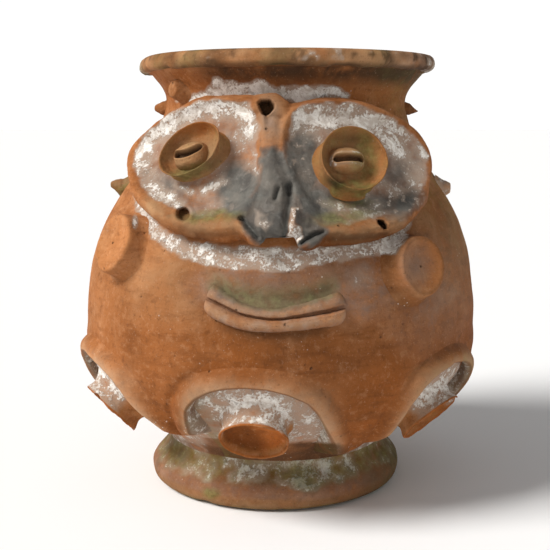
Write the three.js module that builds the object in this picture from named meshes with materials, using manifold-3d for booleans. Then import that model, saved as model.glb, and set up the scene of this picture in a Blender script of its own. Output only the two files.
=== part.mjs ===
// A hand-built clay jar with an owl-like mask on its shoulder and arched hoods round its belly.
// Millimetres, +Z up, the face towards -Y, the origin on the ground under the middle of its outline.
import * as THREE from 'three';
import { mergeVertices } from 'three/addons/utils/BufferGeometryUtils.js';
import Module from 'manifold-3d';

const wasm = await Module();
wasm.setup();

// The pot, from the ground up
const FOOT_HEIGHT = 42;
const FOOT_REACH = 18.5;
const FOOT_TUCK = 9.5;
const FOOT_LEDGE = 2;
const FOOT_WALL = 16;
const BELLY_HEIGHT = 312;
const BELLY_RADIUS = 186;
const BELLY_BASE_RADIUS = 104;
const BELLY_DROP = 16;
const NECK_HEIGHT = 34;
const NECK_RADIUS = 113;
const NECK_FLARE = 16;
const LIP_HEIGHT = 14;
const LIP_REACH = 9;
const LIP_WIDTH = 22;
const WALL = 10;
const LEAN = 11;

// The mask, from its top above the neck's base, and what stands on it
const MASK_RISE = 11;
const MASK_HEIGHT = 118;
const MASK_STAND = 2.5;
const MASK_THICKNESS = 8;
const MASK_RIM = 18;
const HOLE_RADIUS = 6;
const EYE_RADIUS = 29;
const EYE_FLATNESS_LEFT = 7;
const EYE_FLATNESS_RIGHT = 1;
const EYE_DEPTH = 15;
const EYE_WALL = 4;
const BOSS_CLEARANCE = 4;
const BOSS_FLATNESS = 4;
const BOSS_HEIGHT = 12;
const SLIT_INSET = 4;
const SLIT_WIDTH = 7;
const BEAK_TOP_WIDTH = 20;
const BEAK_WIDTH = 48;
const BEAK_HEIGHT = 16;
const NOSTRIL_LENGTH = 26;
const NOSTRIL_RADIUS = 10;

// The mouth and discs hang below the mask's foot
const MOUTH_DISTANCE = 45;
const MOUTH_WIDTH = 122;
const MOUTH_DROP = 17;
const LIP_ROLL = 11;
const LIP_ROLL_HEIGHT = 10;
const MOUTH_SLIT = 1;
const DISC_DISTANCE_LEFT = 11;
const DISC_DISTANCE_RIGHT = 25;
const DISC_RADIUS = 26;
const DISC_HEIGHT = 15;
const DISC_DISH = 6;

// The spikes stand below the neck's base, the lugs on it and the knob above it
const SPIKE_DISTANCE = 74;
const SPIKE_LENGTH_LEFT = 13;
const SPIKE_LENGTH_RIGHT = 7;
const SPIKE_RADIUS = 9;
const LUG_LENGTH = 10;
const LUG_RADIUS = 9;
const KNOB_DISTANCE = 16;
const KNOB_RADIUS = 10;

// The hoods and cups round the lower belly, from the top of the foot
const HOOD_COUNT = 6;
const HOOD_BOTTOM_DISTANCE = 16;
const HOOD_HEIGHT = 93;
const HOOD_BAND = 15;
const HOOD_STAND = 24;
const HOOD_EDGE = 0.8;
const HOOD_LIP = 9;
const HOOD_FLARE = 3;
const PIER_WIDTH = 24;
const CUP_DISTANCE = 50;
const CUP_RADIUS = 31;
const CUP_FLARE = 4;
const CUP_HEIGHT = 14;
const CUP_WALL = 5;

// Clearances and cutting overruns
const GAP = 0.3;
const SINK = 6;

// Angles, in degrees round the jar from the face
const HOOD_PHASE = -7;
const LOBE_ANGLES = { left: -34, right: 26 };
const LOBE_HALF_ANGLES = { left: 29, right: 30 };
const EYE_ANGLES = { left: -29, right: 20 };
const DISC_ANGLES = { left: -51, right: 37.5 };
const SPIKE_ANGLES = { left: -81, right: 79 };
const LUG_ANGLES = { left: -84, right: 84 };
const KNOB_ANGLE = -54;
const MOUTH_ANGLE = -2;
const FACE_ANGLES = { top: -6.5, bottom: 0 };
const WING_TILT = 42;

// Facet counts
const POT_SIDES = 44;
const POT_ROWS = 14;
const INNER_ROWS = 9;
const CUP_SIDES = 16;
const EYE_SIDES = 18;
const LOBE_SIDES = 28;
const SMALL_SIDES = 12;
const BEAK_STEPS = 6;
const MOUTH_STEPS = 12;
const HOOD_STEPS = 20;
const BAND_STEPS = 3;

const SIDES = ['left', 'right'];
const radians = THREE.MathUtils.degToRad;
const lerp = THREE.MathUtils.lerp;
const clamp = THREE.MathUtils.clamp;
const NECK_BASE = FOOT_HEIGHT + BELLY_HEIGHT;
const LIP_BASE = NECK_BASE + NECK_HEIGHT;
const JAR_HEIGHT = LIP_BASE + LIP_HEIGHT;
const FOOT_RADIUS = BELLY_BASE_RADIUS + FOOT_REACH;
const FOOT_BASE_RADIUS = FOOT_RADIUS - FOOT_TUCK;
const FOOT_TOP_RADIUS = BELLY_BASE_RADIUS + FOOT_LEDGE;
const NECK_TOP_RADIUS = NECK_RADIUS + NECK_FLARE;
const LIP_RADIUS = NECK_TOP_RADIUS + LIP_REACH;
const MASK_TOP = NECK_BASE + MASK_RISE;
const MASK_BOTTOM = MASK_TOP - MASK_HEIGHT;
const BOSS_RADIUS = EYE_RADIUS - EYE_WALL * 2 - BOSS_CLEARANCE;
const SLIT_LENGTH = (BOSS_RADIUS - SLIT_INSET) * 2;
const HOOD_FOOT = FOOT_HEIGHT + HOOD_BOTTOM_DISTANCE;
const HOOD_TOP = HOOD_FOOT + HOOD_HEIGHT;
const HOOD_LIP_TOP = HOOD_TOP - HOOD_BAND;
const CUP_BASE_RADIUS = CUP_RADIUS - CUP_FLARE;
const CUP_MIDDLE = FOOT_HEIGHT + CUP_DISTANCE;
const HOOD_STEP = 360 / HOOD_COUNT;
const eyeFlatness = { left: EYE_FLATNESS_LEFT, right: EYE_FLATNESS_RIGHT };
const discDistance = { left: DISC_DISTANCE_LEFT, right: DISC_DISTANCE_RIGHT };
const spikeLength = { left: SPIKE_LENGTH_LEFT, right: SPIKE_LENGTH_RIGHT };

// A smooth function through points [x, y] in rising x
function smoothThrough(points) {
  const last = points.length - 1;
  const slope = (i) => {
    const before = points[Math.max(i - 1, 0)];
    const after = points[Math.min(i + 1, last)];
    return (after[1] - before[1]) / (after[0] - before[0]);
  };
  return (x) => {
    let i = 0;
    while (i < last - 1 && x > points[i + 1][0]) i += 1;
    const [x0, y0] = points[i];
    const [x1, y1] = points[i + 1];
    const t = clamp((x - x0) / (x1 - x0), 0, 1);
    const span = x1 - x0;
    const ease = t * t * (3 - 2 * t);
    const leave = t * (1 - t) * (1 - t) * slope(i) * span;
    const arrive = t * t * (t - 1) * slope(i + 1) * span;
    return y0 + (y1 - y0) * ease + leave + arrive;
  };
}

// The belly's swell: shares of its height, and of its greatest radius
const SWELL_SHARES = [
  [0.06, 0.66], [0.12, 0.788], [0.2, 0.917], [0.29, 0.99], [0.38, 1], [0.47, 0.989],
  [0.57, 0.959], [0.67, 0.9], [0.76, 0.812], [0.85, 0.716], [0.93, 0.648],
];
const bellySkin = smoothThrough([
  [FOOT_HEIGHT, BELLY_BASE_RADIUS],
  ...SWELL_SHARES.map(([up, out]) => [FOOT_HEIGHT + BELLY_HEIGHT * up, BELLY_RADIUS * out]),
  [NECK_BASE, NECK_RADIUS],
]);
// The neck's flare: shares of its height, and of the step from its waist to its top
const FLARE_SHARES = [[0, 0], [0.3, 0], [0.55, 0.22], [0.78, 0.6], [1, 1]];
const neckSkin = smoothThrough(FLARE_SHARES.map(([up, out]) => [
  NECK_BASE + NECK_HEIGHT * up,
  lerp(NECK_RADIUS, NECK_TOP_RADIUS, out),
]));
const skin = (z) => (z < NECK_BASE ? bellySkin(z) : neckSkin(Math.min(z, LIP_BASE)));
const skinSlope = (z) => (skin(z + GAP) - skin(z - GAP)) / (GAP + GAP);

// A closed three.js geometry as a solid that can be cut and joined
function solidOf(geometry) {
  const bare = geometry.clone();
  for (const name of Object.keys(bare.attributes)) {
    if (name !== 'position') bare.deleteAttribute(name);
  }
  const merged = mergeVertices(bare);
  const index = merged.index.array;
  const kept = [];
  for (let i = 0; i < index.length; i += 3) {
    const [a, b, c] = index.subarray(i, i + 3);
    if (a !== b && b !== c && c !== a) kept.push(a, b, c);
  }
  const points = merged.attributes.position.array;
  if (signedVolume(points, kept) < 0) kept.reverse();
  const mesh = new wasm.Mesh({
    numProp: 3,
    vertProperties: new Float32Array(points),
    triVerts: new Uint32Array(kept),
  });
  return new wasm.Manifold(mesh);
}

function signedVolume(points, triangles) {
  const corner = (i) => new THREE.Vector3().fromArray(points, triangles[i] * 3);
  let total = 0;
  for (let i = 0; i < triangles.length; i += 3) {
    total += corner(i).dot(corner(i + 1).cross(corner(i + 2)));
  }
  return total;
}

function geometryOf(solid) {
  const { vertProperties, triVerts, numProp } = solid.getMesh();
  const geometry = new THREE.BufferGeometry();
  const positions = new Float32Array((vertProperties.length / numProp) * 3);
  for (let i = 0; i < positions.length / 3; i += 1) {
    positions.set(vertProperties.subarray(i * numProp, i * numProp + 3), i * 3);
  }
  geometry.setAttribute('position', new THREE.BufferAttribute(positions, 3));
  geometry.setIndex(Array.from(triVerts));
  return geometry;
}

// Moves every vertex of a geometry to the place that the map gives it
function reshaped(geometry, map) {
  const position = geometry.attributes.position;
  const vertex = new THREE.Vector3();
  for (let i = 0; i < position.count; i += 1) {
    vertex.fromBufferAttribute(position, i);
    const moved = map(vertex);
    position.setXYZ(i, moved.x, moved.y, moved.z);
  }
  return geometry;
}

// A profile of [radius, height] pairs turned about the upright axis
function turned(profile, sides) {
  const points = profile.map(([r, z]) => new THREE.Vector2(Math.max(r, 0), z));
  return new THREE.LatheGeometry(points, sides).rotateX(Math.PI / 2);
}

// The same line moved sideways, to its right for a positive distance
function offsetLine(line, distance) {
  return line.map((point, i) => {
    const before = line[Math.max(i - 1, 0)];
    const after = line[Math.min(i + 1, line.length - 1)];
    const along = [after[0] - before[0], after[1] - before[1]];
    const length = Math.hypot(...along);
    return [point[0] + (along[1] / length) * distance, point[1] - (along[0] / length) * distance];
  });
}

const samples = (count, map) => Array.from({ length: count + 1 }, (_, i) => map(i / count));

// A place on the jar: degrees round from the face, height and distance from the axis
function onJar(angle, z, r) {
  const turn = radians(angle);
  return new THREE.Vector3(r * Math.sin(turn), -r * Math.cos(turn), z);
}

// A frame on a slanted wall: x to the viewer's right, y up the wall, z straight out of it
function wallFrame(angle, z, r, slope) {
  const turn = radians(angle);
  const right = new THREE.Vector3(Math.cos(turn), Math.sin(turn), 0);
  const out = new THREE.Vector3(Math.sin(turn), -Math.cos(turn), -slope).normalize();
  const up = new THREE.Vector3().crossVectors(out, right);
  return new THREE.Matrix4().makeBasis(right, up, out).setPosition(onJar(angle, z, r));
}

const skinFrame = (angle, z) => wallFrame(angle, z, skin(z), skinSlope(z));

// The belly: outer skin from the middle of its base up to the neck, and back down inside
const BASE_SHARES = [[0, 1], [0.55, 0.94], [0.85, 0.6]];
const bellyLine = (rows) => [
  ...BASE_SHARES.map(([out, down]) => [BELLY_BASE_RADIUS * out, FOOT_HEIGHT - BELLY_DROP * down]),
  ...samples(rows, (t) => [bellySkin(FOOT_HEIGHT + BELLY_HEIGHT * t), FOOT_HEIGHT + BELLY_HEIGHT * t]),
];
const neckLine = (rows) => samples(rows, (t) => {
  const z = NECK_BASE + NECK_HEIGHT * t;
  return [neckSkin(z), z];
});
const bellyOutside = bellyLine(POT_ROWS);
const neckOutside = neckLine(4);
const LIP_SHARES = [[0.75, 0.12], [1, 0.42], [0.96, 0.78], [0.62, 1]];
const lipOutside = [
  [NECK_TOP_RADIUS, LIP_BASE],
  ...LIP_SHARES.map(([out, up]) => [lerp(NECK_TOP_RADIUS, LIP_RADIUS, out), LIP_BASE + LIP_HEIGHT * up]),
];

// A shell between an outer line and another set in from it by the wall, level at its two ends
function shellProfile(outside, core, bottom, top) {
  const inside = offsetLine(core, -WALL);
  inside[0][0] = Math.max(inside[0][0], 0);
  const level = (line) => {
    const copy = line.map(([r, z]) => [r, clamp(z, bottom, top)]);
    copy[copy.length - 1][1] = top;
    return copy;
  };
  return [...level(outside), ...level(inside).reverse()];
}

function bellySolid() {
  const profile = shellProfile(bellyOutside, bellyLine(INNER_ROWS), 0, NECK_BASE - GAP);
  profile[profile.length - 1][0] = 0;
  return solidOf(turned(profile, POT_SIDES));
}

function neckSolid() {
  const profile = shellProfile(neckOutside, neckLine(3), NECK_BASE, LIP_BASE - GAP);
  profile[profile.length - 1][1] = NECK_BASE;
  return solidOf(turned([...profile, profile[0]], POT_SIDES));
}

function lipSolid() {
  const innerRadius = LIP_RADIUS - LIP_WIDTH;
  const profile = [
    ...lipOutside,
    [innerRadius + LIP_HEIGHT / 2, JAR_HEIGHT],
    [innerRadius, lerp(LIP_BASE, JAR_HEIGHT, 0.6)],
    [innerRadius, LIP_BASE],
    lipOutside[0],
  ];
  return solidOf(turned(profile, POT_SIDES));
}

// The foot ring swells towards the ground and is cut to the belly that stands in it
function footSolid() {
  const swellShares = [[0, 0], [0.12, 0.62], [0.33, 1], [0.6, 0.62], [0.85, 0.12]];
  const outside = swellShares.map(([up, out]) => {
    const start = up < 0.33 ? FOOT_BASE_RADIUS : FOOT_TOP_RADIUS;
    return [lerp(start, FOOT_RADIUS, out), FOOT_HEIGHT * up];
  });
  const innerRadius = FOOT_BASE_RADIUS - FOOT_WALL;
  const profile = [
    ...outside,
    [FOOT_TOP_RADIUS, FOOT_HEIGHT],
    [innerRadius, FOOT_HEIGHT],
    [innerRadius, 0],
    outside[0],
  ];
  return solidOf(turned(profile, POT_SIDES));
}

// The whole pot filled in and grown by the gap: every applied piece is cut by it
const potLine = [...bellyOutside, ...neckOutside.slice(1), ...lipOutside.slice(1)];
const grownLine = offsetLine(potLine, GAP);
grownLine[0] = [0, potLine[0][1] - GAP];
const potCutter = solidOf(turned([...grownLine, [0, JAR_HEIGHT + GAP]], POT_SIDES));
// The largest body of a cut piece, without the crumbs that the cut leaves
function mainBody(solid) {
  return solid.decompose().reduce((most, body) => (body.volume() > most.volume() ? body : most));
}
const seated = (solid) => mainBody(solid.subtract(potCutter));

// A solid grown by the gap along each axis
function spread(solid) {
  const steps = [[1, 0, 0], [-1, 0, 0], [0, 1, 0], [0, -1, 0], [0, 0, 1], [0, 0, -1]];
  return steps.reduce((sum, step) => sum.add(solid.translate(step.map((way) => way * GAP))), solid);
}

// A piece gives way to those laid before it, wherever it would run into them
function givingWay(solid, others) {
  return others.reduce((piece, other) => {
    const near = piece.minGap(other, GAP) < GAP / 2;
    return near ? mainBody(piece.subtract(spread(other))) : piece;
  }, solid);
}

// The mask lies on a cone that leans back with the shoulder
const maskShare = (z) => (MASK_TOP - z) / (MASK_TOP - MASK_BOTTOM);
const maskSeat = (z) => lerp(skin(MASK_TOP), skin(MASK_BOTTOM), maskShare(z)) + MASK_STAND;
const maskSlope = (skin(MASK_TOP) - skin(MASK_BOTTOM)) / MASK_HEIGHT;
const MASK_MIDDLE = lerp(MASK_TOP, MASK_BOTTOM, 0.5);
const faceAngle = (z) => lerp(FACE_ANGLES.top, FACE_ANGLES.bottom, clamp(maskShare(z), 0, 1));
const maskFrame = (angle, z, lift) => wallFrame(angle, z, maskSeat(z) + lift, maskSlope);

// A lobe's section from the middle of its back, round the rim, to the middle of its dish:
// shares of the way to the rim, and heights off the cone
const lobeProfile = [
  [0, -SINK], [0.8, -SINK], [0.9, 0], [1, MASK_RIM * 0.45], [1, MASK_RIM * 0.85],
  [0.97, MASK_RIM], [0.9, MASK_RIM * 0.97], [0.8, MASK_RIM * 0.7], [0.62, MASK_THICKNESS],
  [0.3, MASK_THICKNESS * 0.85], [0, MASK_THICKNESS * 0.8],
];

// How much of its height a lobe loses towards its outer tip
const TAPER_SHARES = { above: 0.25, below: 0.5 };

// Pulls a round section out to the lobe's egg shape: full at the sides, tucked in at the corners
function lobeSolid(side) {
  const middle = LOBE_ANGLES[side];
  const halfHeight = MASK_HEIGHT / 2;
  const outward = side === 'left' ? -1 : 1;
  const map = (v) => {
    const reach = Math.hypot(v.x, v.y);
    const around = Math.atan2(v.y, v.x);
    const full = 1 / (Math.abs(Math.cos(around)) ** 2.4 + Math.abs(Math.sin(around)) ** 2.4) ** (1 / 2.4);
    const across = reach * full * Math.cos(around);
    const upward = reach * full * Math.sin(around);
    const taper = upward > 0 ? TAPER_SHARES.above : TAPER_SHARES.below;
    const narrowed = 1 - taper * clamp(across * outward + 0.3, 0, 1);
    const z = MASK_MIDDLE + halfHeight * upward * narrowed;
    return onJar(middle + LOBE_HALF_ANGLES[side] * across, z, maskSeat(z) + v.z);
  };
  return solidOf(reshaped(turned(lobeProfile, LOBE_SIDES), map));
}

// A slab bent round the jar: x across in shares of its half width, y up in shares, z out
function bentSlab(across, along, map) {
  const slab = new THREE.BoxGeometry(2, 1, 1, across, along, 1).translate(0, 0.5, 0.5);
  return solidOf(reshaped(slab, map));
}

// The web between the two lobes, which the upper hole goes through
function maskWeb() {
  return bentSlab(BEAK_STEPS, BEAK_STEPS, (v) => {
    const corner = 1 - 0.06 * v.x * v.x;
    const z = lerp(MASK_MIDDLE, MASK_TOP, v.y * 0.94 * corner);
    const halfWidth = (BEAK_TOP_WIDTH / 2) * lerp(1, 1.7, v.y ** 3);
    const turn = THREE.MathUtils.radToDeg((halfWidth * v.x) / maskSeat(z));
    const out = v.z > 0.5 ? MASK_RIM * lerp(0.85, 0.6, v.x * v.x) : -SINK;
    return onJar(faceAngle(z) + turn, z, maskSeat(z) + out);
  });
}

function holePin(angle, z, radius) {
  const length = MASK_RIM * 3;
  const pin = new THREE.CylinderGeometry(radius, radius, length, SMALL_SIDES).rotateX(Math.PI / 2);
  return solidOf(pin.applyMatrix4(maskFrame(angle, z, 0)));
}

const MASK_HOLES = [[-6, 0.12], [-29, 0.85], [28, 0.9]];
const maskHeight = (share) => lerp(MASK_TOP, MASK_BOTTOM, share);

function maskSolid() {
  let mask = lobeSolid('left').add(lobeSolid('right')).add(maskWeb());
  for (const [angle, down] of MASK_HOLES) {
    mask = mask.subtract(holePin(angle, maskHeight(down), HOLE_RADIUS));
  }
  return seated(mask);
}

const maskBody = maskSolid();
const maskCutter = maskBody.add(maskBody.translate(0, -GAP, 0)).add(maskBody.translate(0, 0, GAP));
const onMask = (solid) => mainBody(seated(solid).subtract(maskCutter));

// Turns a small piece on its own axis and stands it in a frame on the wall
function standing(profile, sides, frame, flatten = 1) {
  return turned(profile, sides).scale(1, flatten, 1).applyMatrix4(frame);
}

const EYE_SHARES = { left: 0.43, right: 0.49 };
const EYE_TILTS = { left: 32, right: -8 };
const SLIT_TILTS = { left: 16, right: -2 };
const eyeFrame = (side, tilts) => {
  const z = maskHeight(EYE_SHARES[side]);
  const tilt = new THREE.Matrix4().makeRotationZ(radians(tilts[side]));
  return maskFrame(EYE_ANGLES[side], z, MASK_THICKNESS).multiply(tilt);
};

function eyeCup(side) {
  const foot = EYE_RADIUS - EYE_WALL;
  const profile = [
    [foot - EYE_WALL, -SINK], [foot, -SINK], [EYE_RADIUS - EYE_WALL / 2, EYE_DEPTH / 2],
    [EYE_RADIUS, EYE_DEPTH], [EYE_RADIUS - EYE_WALL, EYE_DEPTH], [foot - EYE_WALL, EYE_DEPTH / 2],
    [foot - EYE_WALL, -SINK],
  ];
  const flatten = 1 - eyeFlatness[side] / EYE_RADIUS;
  const cup = standing(profile, EYE_SIDES, eyeFrame(side, EYE_TILTS), flatten);
  return onMask(solidOf(cup));
}

// A domed button with a slit through its crown
function eyeBoss(side) {
  const profile = [
    [0, -SINK], [BOSS_RADIUS, -SINK], [BOSS_RADIUS, BOSS_HEIGHT * 0.6],
    [BOSS_RADIUS * 0.85, BOSS_HEIGHT * 0.9], [BOSS_RADIUS * 0.5, BOSS_HEIGHT], [0, BOSS_HEIGHT],
  ];
  const flatten = 1 - BOSS_FLATNESS / BOSS_RADIUS;
  const frame = eyeFrame(side, SLIT_TILTS);
  const slit = new THREE.BoxGeometry(SLIT_LENGTH, SLIT_WIDTH, BOSS_HEIGHT).translate(0, 0, BOSS_HEIGHT);
  const boss = solidOf(standing(profile, SMALL_SIDES, frame, flatten));
  return onMask(boss.subtract(solidOf(slit.applyMatrix4(frame))));
}

// The beak: a ridge that widens and rises as it comes down between the lobes
function beakSolid() {
  const slab = bentSlab(BEAK_STEPS, BEAK_STEPS, (v) => {
    const tuck = (1 - v.y) ** 4 * v.x * v.x;
    const z = lerp(MASK_BOTTOM - MASK_THICKNESS / 2, maskHeight(0.2), v.y) + MASK_RIM * tuck;
    const width = lerp(BEAK_WIDTH, BEAK_TOP_WIDTH, v.y ** 0.6);
    const crown = (1 - v.x * v.x) * lerp(BEAK_HEIGHT, MASK_RIM * 0.7, v.y ** 0.8);
    const out = v.z > 0.5 ? MASK_THICKNESS + crown : -SINK;
    const turn = THREE.MathUtils.radToDeg((v.x * width) / 2 / maskSeat(z));
    return onJar(faceAngle(z) + turn, z, maskSeat(z) + out);
  });
  return onMask(slab);
}

const beakBody = beakSolid();
const beakCutter = beakBody
  .add(beakBody.translate(-GAP, 0, 0))
  .add(beakBody.translate(GAP, 0, 0))
  .add(beakBody.translate(0, -GAP, 0));

// A wing: a tapered roll that runs down and out from the foot of the beak
function nostrilWing(side) {
  const outward = side === 'left' ? -1 : 1;
  const roll = new THREE.CylinderGeometry(
    NOSTRIL_RADIUS * 0.6, NOSTRIL_RADIUS, NOSTRIL_LENGTH, SMALL_SIDES, 2,
  );
  roll.rotateZ(outward * radians(WING_TILT)).translate(outward * NOSTRIL_LENGTH * 0.72, 0, MASK_RIM);
  const frame = maskFrame(faceAngle(MASK_BOTTOM), maskHeight(0.95), 0);
  return mainBody(onMask(solidOf(roll.applyMatrix4(frame))).subtract(beakCutter));
}

// A lip of the mouth: a smiling roll that lies on the belly, drawn in at its ends
function mouthLip(offset, roll) {
  const level = MASK_BOTTOM - MOUTH_DISTANCE - MOUTH_DROP + offset;
  return seated(bentSlab(MOUTH_STEPS, BAND_STEPS, (v) => {
    const along = (v.x * MOUTH_WIDTH) / 2;
    const end = Math.sqrt(Math.max(1 - v.x ** 6, 0.06));
    const rise = MOUTH_DROP * v.x * v.x;
    const z = level + rise + (v.y - 0.5) * roll * end;
    const bulge = v.y > 0.1 && v.y < 0.9 ? 1 : 0.5;
    const out = v.z > 0.5 ? LIP_ROLL_HEIGHT * bulge * end : -SINK;
    const turn = MOUTH_ANGLE + THREE.MathUtils.radToDeg(along / skin(z));
    return onJar(turn, z, skin(z) + out);
  }));
}

function earDisc(side) {
  const profile = [
    [0, -SINK], [DISC_RADIUS, -SINK], [DISC_RADIUS, DISC_HEIGHT * 0.8],
    [DISC_RADIUS * 0.94, DISC_HEIGHT], [DISC_RADIUS * 0.84, DISC_HEIGHT],
    [DISC_RADIUS * 0.5, DISC_HEIGHT - DISC_DISH * 0.8], [0, DISC_HEIGHT - DISC_DISH],
  ];
  const frame = skinFrame(DISC_ANGLES[side], MASK_BOTTOM - discDistance[side]);
  return seated(solidOf(standing(profile, CUP_SIDES, frame)));
}

// A lug: a tapered stub that stands out of the wall
function stub(angle, z, length, radius, tipShare) {
  const profile = [
    [0, -SINK], [radius, -SINK], [radius * 0.9, length * 0.3],
    [radius * lerp(1, tipShare, 0.7), length * 0.75], [radius * tipShare, length], [0, length],
  ];
  const level = wallFrame(angle, z, skin(z), 0);
  return seated(solidOf(standing(profile, SMALL_SIDES, level)));
}

// Round one hood, at an angle from 0 at its right foot over the crest to 180 at its left foot
const hoodHalfAngle = HOOD_STEP / 2;
const pierAngle = THREE.MathUtils.radToDeg(PIER_WIDTH / 2 / skin(CUP_MIDDLE));
const gapAngle = THREE.MathUtils.radToDeg(GAP / 2 / (skin(HOOD_FOOT) + HOOD_STAND));

// How far the skirt of hoods stands off the belly: most at the foot, an edge's thickness at the top
function skirtStand(z) {
  const share = clamp((HOOD_TOP - z) / HOOD_HEIGHT, 0, 1);
  return lerp(HOOD_EDGE, HOOD_STAND, share ** 1.1);
}

function archHood(middle) {
  const lipHalf = hoodHalfAngle - pierAngle;
  const outerHalf = hoodHalfAngle - gapAngle;
  return seated(bentSlab(HOOD_STEPS, BAND_STEPS, (v) => {
    const around = radians(lerp(180, 0, (v.x + 1) / 2));
    const c = Math.cos(around);
    const s = Math.sin(around);
    const square = 1 / Math.max(Math.abs(c), s);
    const round = 1 / (Math.abs(c) ** 2.6 + s ** 2.6) ** (1 / 2.6);
    const angle = lerp(lipHalf * c * round, outerHalf * c * square, v.y);
    const lipZ = lerp(HOOD_FOOT, HOOD_LIP_TOP, s * round);
    const outerZ = lerp(HOOD_FOOT, HOOD_TOP, s * square);
    const z = lerp(lipZ, outerZ, v.y);
    const top = skirtStand(z) + HOOD_FLARE * (1 - v.y) ** 2;
    const undercut = Math.max(top - HOOD_LIP - (HOOD_STAND + SINK) * v.y * 1.6, -SINK);
    return onJar(middle + angle, z, skin(z) + (v.z > 0.5 ? top : undercut));
  }));
}

// A cup: a bowl that stands straight out of the slanting lower wall
function wallCup(middle) {
  const floor = CUP_WALL;
  const profile = [
    [0, -SINK * 2], [CUP_BASE_RADIUS, -SINK * 2], [CUP_BASE_RADIUS, 0], [CUP_RADIUS, CUP_HEIGHT],
    [CUP_RADIUS - CUP_WALL, CUP_HEIGHT], [CUP_BASE_RADIUS - CUP_WALL, CUP_HEIGHT * 0.6],
    [(CUP_BASE_RADIUS - CUP_WALL) * 0.75, floor], [0, floor],
  ];
  const frame = skinFrame(middle, CUP_MIDDLE);
  return seated(solidOf(standing(profile, CUP_SIDES, frame)));
}

// The clay, its lime and the grey pigment of the beak
const CLAY = { color: 0xb4622f, roughness: 0.85 };
const DARK_CLAY = { color: 0x8f4f2b, roughness: 0.88 };
const LIMED_CLAY = { color: 0xc9b8a6, roughness: 0.92 };
const GREY_PIGMENT = { color: 0x66676a, roughness: 0.6 };
const BUFF_CLAY = { color: 0xa5763f, roughness: 0.85 };

const leaned = (geometry) => {
  const shear = new THREE.Matrix4().makeShear(0, 0, 0, 0, LEAN / JAR_HEIGHT, 0);
  const level = new THREE.Matrix4().makeTranslation(-LEAN / 2, 0, 0);
  return geometry.applyMatrix4(level.multiply(shear));
};

const jar = new THREE.Group();
function addPiece(name, solid, look) {
  const material = new THREE.MeshStandardMaterial({ ...look, metalness: 0 });
  const mesh = new THREE.Mesh(leaned(geometryOf(solid)), material);
  mesh.name = name;
  jar.add(mesh);
}

// Ornaments in the order in which they are laid on, each clear of the ones before it
const laid = [maskBody];
const laidOnMask = [beakBody];
function layOn(name, solid, look, neighbours = laid) {
  const piece = givingWay(solid, neighbours);
  neighbours.push(piece);
  addPiece(name, piece, look);
}

addPiece('foot_ring', seated(footSolid()), BUFF_CLAY);
addPiece('belly', bellySolid(), CLAY);
addPiece('neck_collar', neckSolid(), DARK_CLAY);
addPiece('lip_rim', lipSolid(), BUFF_CLAY);
addPiece('face_mask', maskBody, LIMED_CLAY);
addPiece('beak_ridge', beakBody, GREY_PIGMENT);
for (const side of SIDES) {
  const spikeBase = NECK_BASE - SPIKE_DISTANCE;
  layOn(`eye_cup_${side}`, eyeCup(side), BUFF_CLAY, laidOnMask);
  layOn(`eye_boss_${side}`, eyeBoss(side), BUFF_CLAY, laidOnMask);
  layOn(`nostril_wing_${side}`, nostrilWing(side), GREY_PIGMENT, laidOnMask);
  layOn(`ear_disc_${side}`, earDisc(side), CLAY);
  layOn(`neck_lug_${side}`, stub(LUG_ANGLES[side], NECK_BASE, LUG_LENGTH, LUG_RADIUS, 0.4), DARK_CLAY);
  layOn(
    `shoulder_spike_${side}`,
    stub(SPIKE_ANGLES[side], spikeBase, spikeLength[side], SPIKE_RADIUS, 0.3),
    CLAY,
  );
}
const knob = stub(KNOB_ANGLE, NECK_BASE + KNOB_DISTANCE, KNOB_RADIUS, KNOB_RADIUS, 0.6);
layOn('neck_knob', knob, DARK_CLAY);
layOn('mouth_upper_lip', mouthLip((LIP_ROLL + MOUTH_SLIT) / 2, LIP_ROLL), CLAY);
layOn('mouth_lower_lip', mouthLip(-(LIP_ROLL + MOUTH_SLIT) / 2, LIP_ROLL), CLAY);
for (let i = 0; i < HOOD_COUNT; i += 1) {
  const middle = HOOD_PHASE + HOOD_STEP * i;
  layOn(`wall_cup_${i + 1}`, wallCup(middle), CLAY);
  layOn(`arch_hood_${i + 1}`, archHood(middle), CLAY);
}

// The ornaments reach further in front than behind, so the pot's axis stands a little off the origin
const outline = new THREE.Box3().setFromObject(jar).getCenter(new THREE.Vector3());
jar.position.set(-outline.x, -outline.y, 0);

export default jar;
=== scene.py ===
import math
from functools import reduce
import bpy
import numpy as np
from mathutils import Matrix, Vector, kdtree


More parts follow.
